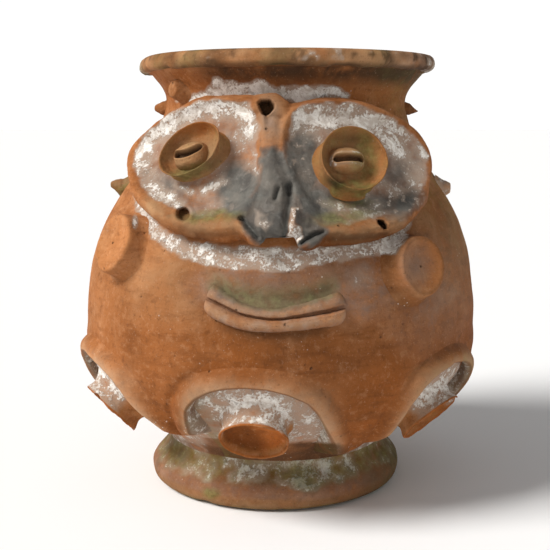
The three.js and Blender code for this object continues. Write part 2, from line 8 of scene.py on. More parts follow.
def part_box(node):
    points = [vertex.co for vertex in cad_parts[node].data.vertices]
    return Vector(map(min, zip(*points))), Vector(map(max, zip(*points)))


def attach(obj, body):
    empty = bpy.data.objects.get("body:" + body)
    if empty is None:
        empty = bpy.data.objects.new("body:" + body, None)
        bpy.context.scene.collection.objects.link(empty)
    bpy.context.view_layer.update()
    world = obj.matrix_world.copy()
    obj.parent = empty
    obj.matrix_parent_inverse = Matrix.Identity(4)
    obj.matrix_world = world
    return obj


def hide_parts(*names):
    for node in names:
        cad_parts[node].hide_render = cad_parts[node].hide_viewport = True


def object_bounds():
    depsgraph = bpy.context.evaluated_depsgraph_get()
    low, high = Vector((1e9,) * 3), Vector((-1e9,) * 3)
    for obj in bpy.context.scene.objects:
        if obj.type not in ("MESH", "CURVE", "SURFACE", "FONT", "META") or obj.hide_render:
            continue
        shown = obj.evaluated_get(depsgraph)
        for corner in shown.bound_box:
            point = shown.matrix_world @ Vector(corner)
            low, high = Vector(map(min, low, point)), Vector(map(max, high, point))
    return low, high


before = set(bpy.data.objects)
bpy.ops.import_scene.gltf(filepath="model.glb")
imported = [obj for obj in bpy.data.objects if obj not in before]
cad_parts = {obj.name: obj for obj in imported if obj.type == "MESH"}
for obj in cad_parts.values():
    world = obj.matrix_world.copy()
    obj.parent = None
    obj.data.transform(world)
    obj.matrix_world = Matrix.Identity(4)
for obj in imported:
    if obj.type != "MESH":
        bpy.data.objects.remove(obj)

CAD_BOX = [list(corner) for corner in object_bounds()]
MM = 0.001

# The pot, in millimetres from the ground up, as in the solids
FOOT_HEIGHT, FOOT_RADIUS, FOOT_BASE_RADIUS, FOOT_TOP_RADIUS, FOOT_WALL = 42.0, 122.5, 113.0, 106.0, 16.0
FOOT_WIDEST = 0.33
BELLY_HEIGHT, BELLY_RADIUS, BELLY_BASE_RADIUS, BELLY_DROP = 312.0, 186.0, 104.0, 16.0
NECK_BASE, LIP_BASE, JAR_HEIGHT = 354.0, 388.0, 402.0
NECK_RADIUS, NECK_TOP_RADIUS, LIP_RADIUS = 113.0, 129.0, 138.0
WALL, LEAN = 10.0, 11.0
MASK_TOP, MASK_BOTTOM, MASK_STAND = 365.0, 247.0, 2.5
HOODS, HOOD_FOOT, HOOD_STAND, HOOD_PHASE = 6, 58.0, 24.0, -7.0
HOOD_PITCH = 360 / HOODS
CUP_MIDDLE = 92.0
# How deep the separate pieces are set into the wall, and how much the rough surfaces are drawn in
SEATED, DRAWN_IN = 1.0, 1.3

foot_low, foot_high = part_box("foot_ring")
AXIS_X = (foot_low.x + foot_high.x) / 2 / MM + LEAN / 2 - FOOT_WIDEST * FOOT_HEIGHT * LEAN / JAR_HEIGHT
AXIS_Y = (foot_low.y + foot_high.y) / 2 / MM

# The place from which the front's landmarks below were read, in the jar's own millimetres
EYE_POINT = np.array([0.0, -960.0, 344.8])
PITCH = math.radians(8.9)
FOCAL, CENTRE_X, CENTRE_Y, FRAME_WIDTH = 1000.0, 281.0, 275.0, 550.0


def smooth_through(points):
    """A smooth curve through points in rising order, as a table for np.interp."""
    x = np.array([p[0] for p in points], float)
    y = np.array([p[1] for p in points], float)
    slope = np.empty(len(x))
    slope[1:-1] = (y[2:] - y[:-2]) / (x[2:] - x[:-2])
    slope[0] = (y[1] - y[0]) / (x[1] - x[0])
    slope[-1] = (y[-1] - y[-2]) / (x[-1] - x[-2])
    at = np.linspace(x[0], x[-1], 1200)
    i = np.clip(np.searchsorted(x, at, side="right") - 1, 0, len(x) - 2)
    span = x[i + 1] - x[i]
    t = (at - x[i]) / span
    value = y[i] + (y[i + 1] - y[i]) * t * t * (3 - 2 * t)
    value += t * (1 - t) ** 2 * slope[i] * span + t * t * (t - 1) * slope[i + 1] * span
    return at, value


SWELL = [(0.06, 0.66), (0.12, 0.788), (0.2, 0.917), (0.29, 0.99), (0.38, 1), (0.47, 0.989), (0.57, 0.959),
         (0.67, 0.9), (0.76, 0.812), (0.85, 0.716), (0.93, 0.648)]
FLARE = [(0, 0), (0.3, 0), (0.55, 0.22), (0.78, 0.6), (1, 1)]
belly_table = smooth_through(
    [(FOOT_HEIGHT, BELLY_BASE_RADIUS)]
    + [(FOOT_HEIGHT + BELLY_HEIGHT * up, BELLY_RADIUS * out) for up, out in SWELL]
    + [(NECK_BASE, NECK_RADIUS)]
)
neck_table = smooth_through(
    [(NECK_BASE + (LIP_BASE - NECK_BASE) * up, NECK_RADIUS + (NECK_TOP_RADIUS - NECK_RADIUS) * out)
     for up, out in FLARE]
)


def skin(z):
    z = np.asarray(z, float)
    return np.where(z < NECK_BASE, np.interp(z, *belly_table), np.interp(z, *neck_table))


def skin_slope(z):
    return skin(z + 0.5) - skin(z - 0.5)


def mask_seat(z):
    share = (MASK_TOP - np.asarray(z, float)) / (MASK_TOP - MASK_BOTTOM)
    top, bottom = skin(MASK_TOP), skin(MASK_BOTTOM)
    return top + (bottom - top) * share + MASK_STAND


MASK_SLOPE = float((skin(MASK_TOP) - skin(MASK_BOTTOM)) / (MASK_TOP - MASK_BOTTOM))


def smoothstep(a, b, x):
    t = np.clip((x - a) / (b - a), 0, 1)
    return t * t * (3 - 2 * t)


def between(x, a, b, c, d):
    """0 up to a and past c, 1 from b to d."""
    return smoothstep(a, b, x) * smoothstep(c, d, x)


def bell(x, middle, width):
    return np.exp(-((x - middle) / width) ** 2)


def most(*amounts):
    return reduce(np.maximum, amounts)


# Seeded lattice noise, so that every run gives the same clay
def lattice(ix, iy, iz, seed):
    n = (ix * 374761393 + iy * 668265263 + iz * 1274126177 + seed * 362437) & 0xFFFFFFFF
    n = ((n ^ (n >> 13)) * 1274126177) & 0xFFFFFFFF
    n = ((n ^ (n >> 16)) * 2246822519) & 0xFFFFFFFF
    return ((n ^ (n >> 15)) & 0xFFFFFF) / float(0xFFFFFF) * 2 - 1


def noise(points, size, seed=0, octaves=3):
    total = np.zeros(len(points))
    weight, norm = 1.0, 0.0
    for octave in range(octaves):
        p = points / (size / 2 ** octave) + 17.3 * (octave + 1)
        cell = np.floor(p).astype(np.int64)
        f = p - cell
        f = f * f * f * (f * (f * 6 - 15) + 10)
        share = (1 - f, f)
        value = 0
        for dx, dy, dz in np.ndindex(2, 2, 2):
            near = share[dx][:, 0] * share[dy][:, 1] * share[dz][:, 2]
            corner = lattice(cell[:, 0] + dx, cell[:, 1] + dy, cell[:, 2] + dz, seed + octave)
            value = value + near * corner
        total += weight * value
        norm += weight
        weight *= 0.5
    return total / norm


# The hand-made unevenness that every surface of the pot shares
def unevenness(points):
    return noise(points, 85, 71, 2) * 1.6 + noise(points, 26, 72, 2) * 0.7 + noise(points, 7, 73, 2) * 0.16


# From the jar's own upright frame to the row frame and back, in millimetres
def on_jar(angle, z, r):
    turn = np.radians(angle)
    return np.stack(np.broadcast_arrays(r * np.sin(turn), -r * np.cos(turn), z), -1).astype(float)


def outward(angle):
    return on_jar(angle, 0.0, 1.0)


def bearing(points):
    """Degrees round the jar from its front, rising to the viewer's right."""
    return np.degrees(np.arctan2(points[:, 0], -points[:, 1]))


def lean_shift(z):
    return z * LEAN / JAR_HEIGHT - LEAN / 2


def leaned(points):
    out = np.array(points, float)
    out[..., 0] += lean_shift(out[..., 2])
    return out


def to_row(points):
    out = leaned(points)
    out[..., 0] += AXIS_X
    out[..., 1] += AXIS_Y
    return out * MM


def seen_at(points):
    """Where upright-frame points lie in the front view."""
    p = leaned(points) - EYE_POINT
    depth = p[..., 1] * math.cos(PITCH) - p[..., 2] * math.sin(PITCH)
    up = p[..., 1] * math.sin(PITCH) + p[..., 2] * math.cos(PITCH)
    return CENTRE_X + FOCAL * p[..., 0] / depth, CENTRE_Y - FOCAL * up / depth


def cast(marks, surface):
    """Angle and height of front-view marks on a surface of revolution r = surface(z)."""
    marks = np.array(marks, float)
    x = (marks[:, 0] - CENTRE_X) / FOCAL
    y = (CENTRE_Y - marks[:, 1]) / FOCAL
    ray = np.stack([x, math.cos(PITCH) + y * math.sin(PITCH), -math.sin(PITCH) + y * math.cos(PITCH)], -1)
    steps = np.linspace(700, 1020, 1600)
    p = EYE_POINT + ray[:, None, :] * steps[None, :, None]
    p[..., 0] -= lean_shift(p[..., 2])
    gap = np.hypot(p[..., 0], p[..., 1]) - surface(p[..., 2])
    hit = gap < 0
    first = np.where(hit.any(1), hit.argmax(1), gap.argmin(1))
    q = p[np.arange(len(marks)), first]
    return bearing(q), q[:, 2]


# Mesh helpers
def grid_quads(rows, columns, wrap=False):
    i = np.arange(rows - 1)[:, None] * columns
    j = np.arange(columns if wrap else columns - 1)[None, :]
    k = (j + 1) % columns
    corners = np.broadcast_arrays(i + j, i + k, i + columns + k, i + columns + j)
    return np.stack(corners, -1).reshape(-1, 4)


def face_normals(points, quads):
    a, b, c, d = (points[quads[:, k]] for k in range(4))
    return np.cross(c - a, d - b)


def vertex_normals(points, quads):
    flat = face_normals(points, quads)
    out = np.zeros_like(points)
    for k in range(4):
        for axis in range(3):
            out[:, axis] += np.bincount(quads[:, k], flat[:, axis], len(points))
    return out / np.maximum(np.linalg.norm(out, axis=1, keepdims=True), 1e-12)


def facing_out(points, quads):
    """The faces of a closed piece, turned outward."""
    middle = points[quads[:, :3]].mean(1) - points.mean(0)
    volume = np.einsum("ij,ij->i", face_normals(points, quads), middle).sum()
    return quads if volume > 0 else quads[:, ::-1]


def facing(points, quads, toward):
    """The faces of an open piece, turned toward a direction, or one for each point, and their normals."""
    normals = vertex_normals(points, quads)
    if (normals * toward).sum() < 0:
        return quads[:, ::-1], -normals
    return quads, normals


def relaxed(points, quads, rounds):
    """Taubin smoothing: takes off steps without shrinking the form."""
    edges = np.concatenate([quads[:, [k, (k + 1) % 4]] for k in range(4)])
    start, end = np.concatenate([edges, edges[:, ::-1]]).T
    count = np.maximum(np.bincount(start, minlength=len(points)), 1)[:, None]
    out = points.copy()
    for strength in (0.5, -0.52) * rounds:
        mean = np.stack([np.bincount(start, out[end, k], len(points)) for k in range(3)], -1) / count
        out += (mean - out) * strength
    return out


def spaced(path, count=None, step=1.0, scale=(1, 1)):
    """Evenly spaced places along a path of pairs."""
    p = np.array(path, float)
    length = np.concatenate([[0], np.cumsum(np.hypot(*(np.diff(p, axis=0) * scale).T))])
    at = np.linspace(0, length[-1], count or max(int(length[-1] / step), 8))
    return np.stack([np.interp(at, length, p[:, k]) for k in (0, 1)], -1)


def eased(path, rounds):
    """A path with its corners rounded and its ends kept."""
    for _ in range(rounds):
        path[1:-1] = (path[:-2] + 2 * path[1:-1] + path[2:]) / 4
    return path


def crossways(u, z):
    """The direction across a path on the wall."""
    du, dz = np.gradient(u), np.gradient(z)
    length = np.hypot(du, dz)
    return -dz / length, du / length


def add_mesh(name, nodes, points, quads, normals, paint):
    """A clay piece from upright-frame points, riding on the jar and standing for CAD nodes."""
    used = np.unique(quads)
    index = np.full(len(points), -1)
    index[used] = np.arange(len(used))
    corners = index[quads].ravel()
    mesh = bpy.data.meshes.new(name)
    mesh.vertices.add(len(used))
    mesh.vertices.foreach_set("co", to_row(points[used]).ravel())
    mesh.loops.add(len(corners))
    mesh.loops.foreach_set("vertex_index", corners.astype(np.int32))
    mesh.polygons.add(len(quads))
    mesh.polygons.foreach_set("loop_start", np.arange(0, len(corners), 4, dtype=np.int32))
    mesh.polygons.foreach_set("use_smooth", np.ones(len(quads), bool))
    mesh.update(calc_edges=True)
    mesh.validate()
    for label, layer in zip(("paint_a", "paint_b"), paint):
        colours = mesh.color_attributes.new(name=label, type="FLOAT_COLOR", domain="POINT")
        colours.data.foreach_set("color", layer[used].astype(np.float32).ravel())
    mesh.normals_split_custom_set_from_vertices(normals[used].tolist())
    mesh.materials.append(CLAY)
    piece = bpy.data.objects.new(name, mesh)
    bpy.context.scene.collection.objects.link(piece)
    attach(piece, "root")
    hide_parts(*nodes)


# Painted regions: soft outlines drawn in the front view
def line_distance(x, y, starts, ends):
    """Distance to the nearest of some straight stretches."""
    best = np.full(np.shape(x), np.inf)
    for (ax, ay), (bx, by) in zip(starts, ends):
        ex, ey = bx - ax, by - ay
        t = np.clip(((x - ax) * ex + (y - ay) * ey) / (ex * ex + ey * ey + 1e-9), 0, 1)
        best = np.minimum(best, np.hypot(x - ax - t * ex, y - ay - t * ey))
    return best


def outline_distance(x, y, outline):
    """Signed distance to a closed outline, positive inside."""
    starts = np.array(outline, float)
    ends = np.roll(starts, -1, 0)
    inside = np.zeros(len(x), bool)
    for (ax, ay), (bx, by) in zip(starts, ends):
        cut = (bx - ax) * (y - ay) / (by - ay + 1e-12) + ax
        inside ^= ((ay > y) != (by > y)) & (x < cut)
    return np.where(inside, 1, -1) * line_distance(x, y, starts, ends)


def soft(distance, width=3.0):
    return smoothstep(-width, width, distance)


def blob(x, y, amount, cx, cy, rx, ry, turn=0.0):
    """An amount in the middle of an ellipse, 0 at its edge and beyond."""
    c, s = math.cos(math.radians(turn)), math.sin(math.radians(turn))
    u = ((x - cx) * c + (y - cy) * s) / rx
    v = (-(x - cx) * s + (y - cy) * c) / ry
    return np.clip(1 - np.hypot(u, v), 0, 1) * amount


def blobs(x, y, *rows):
    return most(*(blob(x, y, *row) for row in rows))


def stroke(x, y, amount, width, *marks):
    """An amount along a stroke, falling to nothing at twice its half width."""
    return amount * np.exp(-(line_distance(x, y, marks[:-1], marks[1:]) / width) ** 2 * 1.2)


def strokes(x, y, *rows):
    return most(*(stroke(x, y, *row) for row in rows))


def front_places(points):
    """Front-view places of points, with the wander of a hand-laid edge."""
    x, y = seen_at(points)
    drift = noise(points, 30, 12, 2) * 1.5
    return x + noise(points, 9, 11, 3) * 4 + drift, y + noise(points, 9, 13, 3) * 4 + drift


def front_share(points):
    return smoothstep(40, -20, points[:, 1])


LAYERS = ("lime", "mauve", "grey", "algae", "dark", "buff", "red", "tone")


def layers(points, **amounts):
    """The two colour layers of a piece; a paint that isn't named is absent from it."""
    stack = np.zeros((len(points), len(LAYERS)))
    for label, amount in amounts.items():
        stack[:, LAYERS.index(label)] = np.clip(amount, 0, 1)
    return stack[:, :4], stack[:, 4:]


LIME_PATCHES = [
    [(176, 101), (190, 96), (204, 91), (212, 87), (213, 79), (217, 77), (222, 81), (240, 81), (255, 83),
     (270, 84), (284, 87), (299, 89), (309, 86), (325, 85), (336, 88), (344, 91), (350, 95), (345, 99),
     (320, 99), (300, 103), (285, 99), (262, 97), (235, 97), (205, 99)],
    [(134, 192), (141, 203), (150, 214), (163, 228), (176, 236), (191, 240), (215, 245), (240, 246),
     (265, 249), (300, 248), (330, 246), (352, 244), (372, 240), (388, 233), (402, 223), (414, 210),
     (417, 211), (413, 226), (405, 240), (396, 254), (386, 252), (372, 255), (352, 259), (330, 264),
     (308, 268), (285, 271), (262, 272), (238, 271), (214, 267), (196, 262), (178, 255), (165, 247),
     (154, 238), (143, 222), (136, 206)],
]
# Each arch: angle and height of its left foot and of its right one, and its crown; the left side is steeper
ARCHES = [(-26.0, 84.0, 20.0, 64.0, 134.5), (35.5, 76.0, 79.5, 68.0, 137.0),
          (96.0, 68.0, 140.0, 66.0, 135.0), (155.0, 64.0, 200.0, 72.0, 137.0),
          (217.0, 72.0, 261.0, 66.0, 134.0), (274.5, 64.0, 325.0, 82.0, 138.0)]
ARCH_LINE = [(0, 0), (0.02, 0.3), (0.035, 0.51), (0.1, 0.73), (0.185, 0.87), (0.27, 0.96), (0.38, 1),
             (0.51, 0.97), (0.62, 0.9), (0.73, 0.78), (0.79, 0.64), (0.84, 0.46), (0.9, 0.28), (0.96, 0.12),
             (1, 0)]
# Where one hood's clay ends in a pier and the next one's starts, and how low that pier's tip hangs
PIERS = [(26.0, 60.0), (88.0, 63.0), (148.0, 61.0), (208.5, 66.0), (269.0, 61.0), (329.5, 79.0)]


def arch_lip(i):
    """The inner edge of an arch as (angle, height), from its left foot to its right one."""
    left, left_foot, right, right_foot, crown = ARCHES[i]
    lip = []
    for share, up in ARCH_LINE:
        foot = left_foot + (right_foot - left_foot) * share
        lip.append((left + (right - left) * share, foot + (crown - foot) * up))
    return lip


def arch_room(points):
    """How far each point of the wall lies inside an arch, 0 to 1, and its angle from that arch's cup."""
    room, offset = np.zeros(len(points)), np.zeros(len(points))
    for i in range(HOODS):
        middle = HOOD_PHASE + HOOD_PITCH * i
        aside = (bearing(points) - middle + 180) % 360 - 180
        lip_angle, lip_z = np.transpose(arch_lip(i))
        inside = smoothstep(-3, 5, np.interp(aside, lip_angle - middle, lip_z, 0, 0) - points[:, 2])
        offset = np.where(inside > room, aside, offset)
        room = np.maximum(room, inside)
    return np.maximum(room, smoothstep(108, 92, points[:, 2])), offset


def below_cup(x, y):
    """The wall under the front cup, where the lime ends, and how dark it is painted there as shade."""
    return smoothstep(436, 441, y - 0.05 * (x - 240)), 0.3 + 0.5 * smoothstep(285, 305, x)


def pot_paint(points, arches=True):
    x, y = front_places(points)
    front = front_share(points)
    back = 1 - front
    z, angle = points[:, 2], bearing(points)
    broad = noise(points, 70, 21, 3)
    fine = noise(points, 18, 22, 3)
    depth = np.hypot(points[:, 0], points[:, 1]) - skin(z)
    coats = [(soft(outline_distance(x, y, patch) + 2.5 * fine) * front * smoothstep(-6, -4, depth), amount)
             for patch, amount in zip(LIME_PATCHES, (1.0, 0.68))]
    # The hollow above the mouth, the painted shadow under the mouth, and the right side, where algae also
    # stands for painted shade
    smile = y - (309 - 0.0042 * (x - 277) ** 2)
    hollow = between(smile, -30, -6, 6, 0) * between(x, 202, 222, 345, 328) * front
    mouth_shadow = bell(smile, 27, 7) * between(x, 205, 235, 350, 320) * front
    shade = between(angle, 20, 80, 170, 120)
    # The lower belly, all but its left side, is painted redder and darker: partly the clay's own colour,
    # partly painted shade
    low = smoothstep(215, 130, z) * smoothstep(-75, -35, angle)
    # Under the jar's lip the neck is painted dark: soot, and painted shadow where the lip overhangs
    soot_and_lip_shadow = between(z, 366, 384, 390, 386) * between(angle, -50, -15, 110, 60)
    # Lime fills the hollows under the hoods, brightest above the cups
    room, offset = arch_room(points)
    room *= arches * smoothstep(-9, -7.5, depth)
    halo = np.exp(-(np.hypot((offset - 2) * 3.0, z - 104) / 19) ** 2)
    caked = np.clip(0.42 + 0.8 * halo + 0.35 * fine + 0.45 * noise(points, 7, 27, 3) + 0.2 * broad, 0, 1)
    bare, cup_shade = below_cup(x, y)
    below = bare * between(x, 195, 215, 352, 338) * front
    # Around the mouth the lime has stained the clay a dusty mauve
    stain = blobs(x, y, (2.2, 275, 287, 100, 40), (1.6, 350, 285, 80, 48), (0.9, 430, 290, 60, 90))
    # Out of sight the same weathering goes on, in patches
    lime = (1 - below) * most(
        *(coat * (amount + 0.25 * fine) for coat, amount in coats),
        blobs(x, y, (0.9, 360, 275, 26, 26), (0.8, 262, 294, 14, 10)) * front * 0.30,
        back * smoothstep(0.15, 0.75, noise(points, 60, 23, 3)) * smoothstep(340, 250, z) * 0.45,
        room * caked,
    )
    mauve = (1 - 0.7 * below) * most(
        *(coat * amount for coat, amount in coats),
        np.clip(stain, 0, 1) * front * (0.8 + 0.4 * fine),
        back * smoothstep(0.0, 0.45, noise(points, 80, 24, 3)) * 0.8,
        room * 0.9,
    )
    algae = most(
        hollow * (0.75 + 0.5 * fine),
        # On the right the algae paint also stands for painted shade
        shade * smoothstep(150, 280, z) * (0.35 + 0.3 * fine),
        back * smoothstep(0.1, 0.6, noise(points, 90, 25, 3)) * 0.5,
        room * smoothstep(-6, -20, offset) * (0.55 + 0.3 * fine),
    )
    dark = most(
        # Painted shadow under the mouth's lower lip
        mouth_shadow * 0.5 * (1 - room),
        soot_and_lip_shadow * (1.1 + 0.3 * fine) * (1 - room),
        back * smoothstep(0.25, 0.7, noise(points, 75, 26, 3)) * 0.5 * (1 - room),
        # Painted shade at the waist between the belly and the foot
        between(z, 62, 50, 40, 44) * 0.6,
        # The wall under the front cup is painted dark as shade
        below * cup_shade,
    )
    red = (1 - 0.7 * room) * most(
        low * (0.85 + 0.3 * broad),
        smoothstep(150, 90, z) * 0.9,
        between(z, 352, 362, 389, 383) * (0.45 + 0.3 * fine),
    )
    tone = 0.36 + 0.20 * broad + 0.10 * fine
    # The side toward the key light is painted lighter: painted light
    tone += 0.16 * between(angle, -18, -50, -170, -120)
    tone += 0.06 * smoothstep(60, 120, np.abs(angle))
    tone -= 0.05 * low * (1 - room)
    tone += 0.40 * room * (1 - below)
    tone -= (blob(x, y, 0.16, 285, 350, 120, 60) + blob(x, y, 0.26, 275, 288, 70, 24)) * front
    grey = hollow * smoothstep(-24, -6, smile) * 0.45
    buff = blob(x, y, 0.5, 165, 275, 75, 55) * front
    return layers(points, lime=lime, mauve=mauve, grey=grey, algae=algae, dark=dark, buff=buff, red=red,
                  tone=tone)


def lip_paint(points):
    z, angle = points[:, 2], bearing(points)
    fine = noise(points, 14, 32, 3)
    broad = noise(points, 50, 33, 3)
    end = between(angle, -66, -84, -140, -104)
    lime = most(
        end * (0.5 + 0.5 * fine),
        between(angle, 60, 80, 120, 100) * (0.6 + 0.9 * fine),
        smoothstep(0.25, 0.6, noise(points, 11, 37, 3)) * 0.45 * (z > 392),
    )
    # Painted shade under the lip's bead, and more dark toward the right, partly as shade, over the dark
    # streaks
    dark = most(
        smoothstep(0.0, 0.5, noise(points, 30, 35, 3)) * (0.35 + 0.4 * smoothstep(-20, 40, angle)),
        smoothstep(392, 388, z) * smoothstep(-50, -10, angle) * 0.8,
        smoothstep(0.1, 0.45, noise(points, 7, 36, 3)) * (0.6 + 0.3 * smoothstep(10, 50, angle)),
    )
    algae = end * (0.5 + 0.3 * fine) + smoothstep(0.0, 0.5, noise(points, 40, 34, 2)) * 0.45
    mauve = between(angle, 25, 70, 150, 110) * (0.7 + 0.4 * fine)
    return layers(points, lime=lime, mauve=mauve, algae=algae, dark=dark, buff=0.75 + 0.5 * broad,
                  tone=0.34 + 0.28 * broad + 0.45 * fine)


def foot_paint(points):
    x, y = front_places(points)
    z, angle = points[:, 2], bearing(points)
    fine = noise(points, 12, 41, 3)
    broad = noise(points, 45, 42, 3)
    edge = z + 3.5 * fine + 3 * broad
    band = smoothstep(19, 27, edge) * smoothstep(85, 20, np.abs(angle + 8))
    ring = smoothstep(20, 28, edge)
    algae = most(
        most(band * 0.95, ring * 0.8) * (0.95 + 0.6 * broad),
        smoothstep(7, 1, z) * (0.75 + 0.9 * broad),
        between(angle, 30, 90, 170, 110) * 0.75,
        blob(x, y, 1.6, 212, 494, 12, 8) * front_share(points),
    )
    # On the right the foot is painted darker, partly as shade, besides its algae
    return layers(
        points, algae=algae,
        lime=most(band * (0.54 + 0.75 * fine), ring * (0.26 + 0.4 * fine)),
        mauve=smoothstep(9, 15, z + 3 * broad) * smoothstep(29, 22, edge) * 0.6,
        dark=smoothstep(0.1, 0.6, fine) * 0.4 + between(angle, 25, 70, 170, 120) * 0.5,
        buff=smoothstep(18, 6, z) * 0.8,
        tone=0.30 + 0.16 * broad + 0.12 * fine - 0.08 * smoothstep(20, 70, angle),
    )


NOSE = [(263, 149), (272, 146), (284, 151), (290, 165), (296, 185), (303, 205), (314, 218), (328, 231),
        (320, 243), (300, 249), (283, 250), (262, 247), (250, 241), (242, 228), (236, 215), (246, 203),
        (254, 190), (259, 170)]
LEFT_DISH = [(250, 101), (235, 99.5), (215, 99.5), (196, 102), (178, 109), (160, 121), (146, 133),
             (136, 145), (133, 156), (134, 168), (138, 181), (145, 192), (154, 200), (168, 206), (182, 211),
             (198, 218), (213, 217), (228, 213), (238, 208), (250, 205), (262, 200), (258, 165), (257, 150),
             (259, 125)]
RIGHT_DISH = [(293, 113), (300, 107), (316, 103.5), (336, 102), (354, 104), (372, 110), (390, 118),
              (405, 127), (417, 139), (426, 153), (427, 170), (424, 185), (416, 200), (404, 211), (390, 217),
              (374, 219), (350, 223), (327, 223), (306, 221), (300, 205), (290, 180), (286, 150), (288, 128)]
NOSE_LIME = [(292, 208), (296, 210), (295, 224), (303, 228), (304, 238), (296, 245), (289, 244), (286, 236),
             (288, 222)]
NOSE_FLECKS = [(255, 212), (268, 214), (272, 222), (266, 230), (256, 226)]
# Strokes and soft ellipses of paint on the mask, each with its amount first
MASK_LIME = [
    (1.0, 9, (138, 155), (150, 138), (172, 122), (200, 109), (232, 106), (248, 116)),
    (0.8, 9, (243, 118), (250, 130)), (0.45, 9, (142, 158), (150, 176)), (0.6, 8, (152, 186), (172, 202)),
    (0.8, 5, (205, 190), (224, 182)), (0.9, 8, (292, 128), (302, 116)),
    (0.85, 12, (305, 122), (345, 116), (368, 126)), (1.0, 9, (378, 120), (402, 130)),
    (0.9, 9, (380, 132), (400, 148)), (0.9, 5, (421, 142), (424, 154)), (0.6, 7, (366, 203), (378, 208)),
    (0.5, 5, (318, 202), (340, 206)), (0.6, 4, (408, 176), (412, 182)), (0.5, 4, (175, 186), (190, 192)),
]
MASK_GREY = [
    (2.2, 238, 186, 28, 32, 20), (2.4, 302, 166, 26, 52), (1.4, 404, 204, 30, 18, -35),
    (1.8, 314, 204, 36, 30), (0.9, 398, 172, 36, 40), (1.8, 240, 205, 30, 18), (1.3, 375, 204, 44, 18),
    (0.5, 350, 132, 50, 12), (0.9, 170, 186, 34, 20, 40),
]


def mask_paint(points):
    x, y = front_places(points)
    fine = noise(points, 9, 51, 3)
    broad = noise(points, 32, 52, 3)
    dish = most(outline_distance(x, y, LEFT_DISH), outline_distance(x, y, RIGHT_DISH))
    inside = soft(dish, 2.5)
    nose = soft(outline_distance(x, y, NOSE) + 3 * fine, 5)
    ridge_lime = outline_distance(x, y, NOSE_LIME)
    slate = most(nose, blobs(x, y, *MASK_GREY))
    grey = np.clip(slate + 0.2 * broad * (slate > 0.05), 0, 1)
    speck = smoothstep(0.15, 0.5, noise(points, 4, 53, 2)) * smoothstep(-0.3, 0.3, broad)
    lime = np.clip(0.24 + 0.86 * strokes(x, y, *MASK_LIME) + 0.22 * broad + 0.3 * fine, 0, 1)
    lime *= inside * (1 - nose) * (1 - 0.55 * smoothstep(0.5, 1.0, grey))
    lime = most(
        most(lime, grey * speck * 0.55) * (1 - 0.8 * nose),
        soft(ridge_lime + 3 * fine, 2) * (0.66 + 0.6 * fine),
        soft(outline_distance(x, y, NOSE_FLECKS), 4) * (0.42 + 0.5 * fine),
    )
    bare = np.clip(blobs(x, y, (1.8, 246, 164, 9, 12), (1.0, 205, 125, 26, 8)), 0, 1)
    mauve = inside * np.clip(0.95 + 0.3 * broad, 0, 1) * (1 - bare)
    # Painted light and shade on the mask: its far left, toward the key light, is painted lighter; its lower
    # rim and the side wall under it are painted darker and redder as shade, most at the right
    under = smoothstep(231, 236, y) * (x > 300) + smoothstep(228, 240, y) * (x < 245) * (x > 170)
    tone = 0.44 + 0.14 * broad + 0.1 * fine + 0.10 * smoothstep(175, 130, x)
    tone -= 0.24 * under * (1 + (x > 300))
    tone -= (0.06 * smoothstep(255, 300, x) + 0.10 * smoothstep(212, 224, y)) * (1 - inside)
    tone += (0.08 - 0.12 * smoothstep(180, 205, y)) * inside
    return layers(
        points, lime=lime, tone=tone,
        mauve=most(mauve, blob(x, y, 0.9, 268, 122, 16, 34)),
        grey=grey * (1 - 0.9 * soft(ridge_lime, 2)),
        algae=blobs(x, y, (1.6, 212, 216, 42, 8, -3), (1.6, 345, 217, 42, 9, -6), (1.2, 348, 203, 30, 9)),
        dark=most(blob(x, y, 0.7, 146, 172, 16, 28), grey * smoothstep(0.1, 0.6, fine) * 0.5),
        buff=most(
            strokes(x, y, (1.0, 10, (150, 205), (170, 220), (215, 226), (240, 222)),
                    (0.9, 9, (310, 230), (360, 233), (400, 222))),
            blob(x, y, 1.2, 268, 118, 22, 38),
        ),
        red=most(soft(-dish, 3) * (0.15 + 0.3 * broad), under),
    )


# The clay: one procedural family, its pigments laid on by the painted layers
def node(tree, kind, **values):
    n = tree.nodes.new(kind)
    for key, value in values.items():
        setattr(n, key, value)
    return n


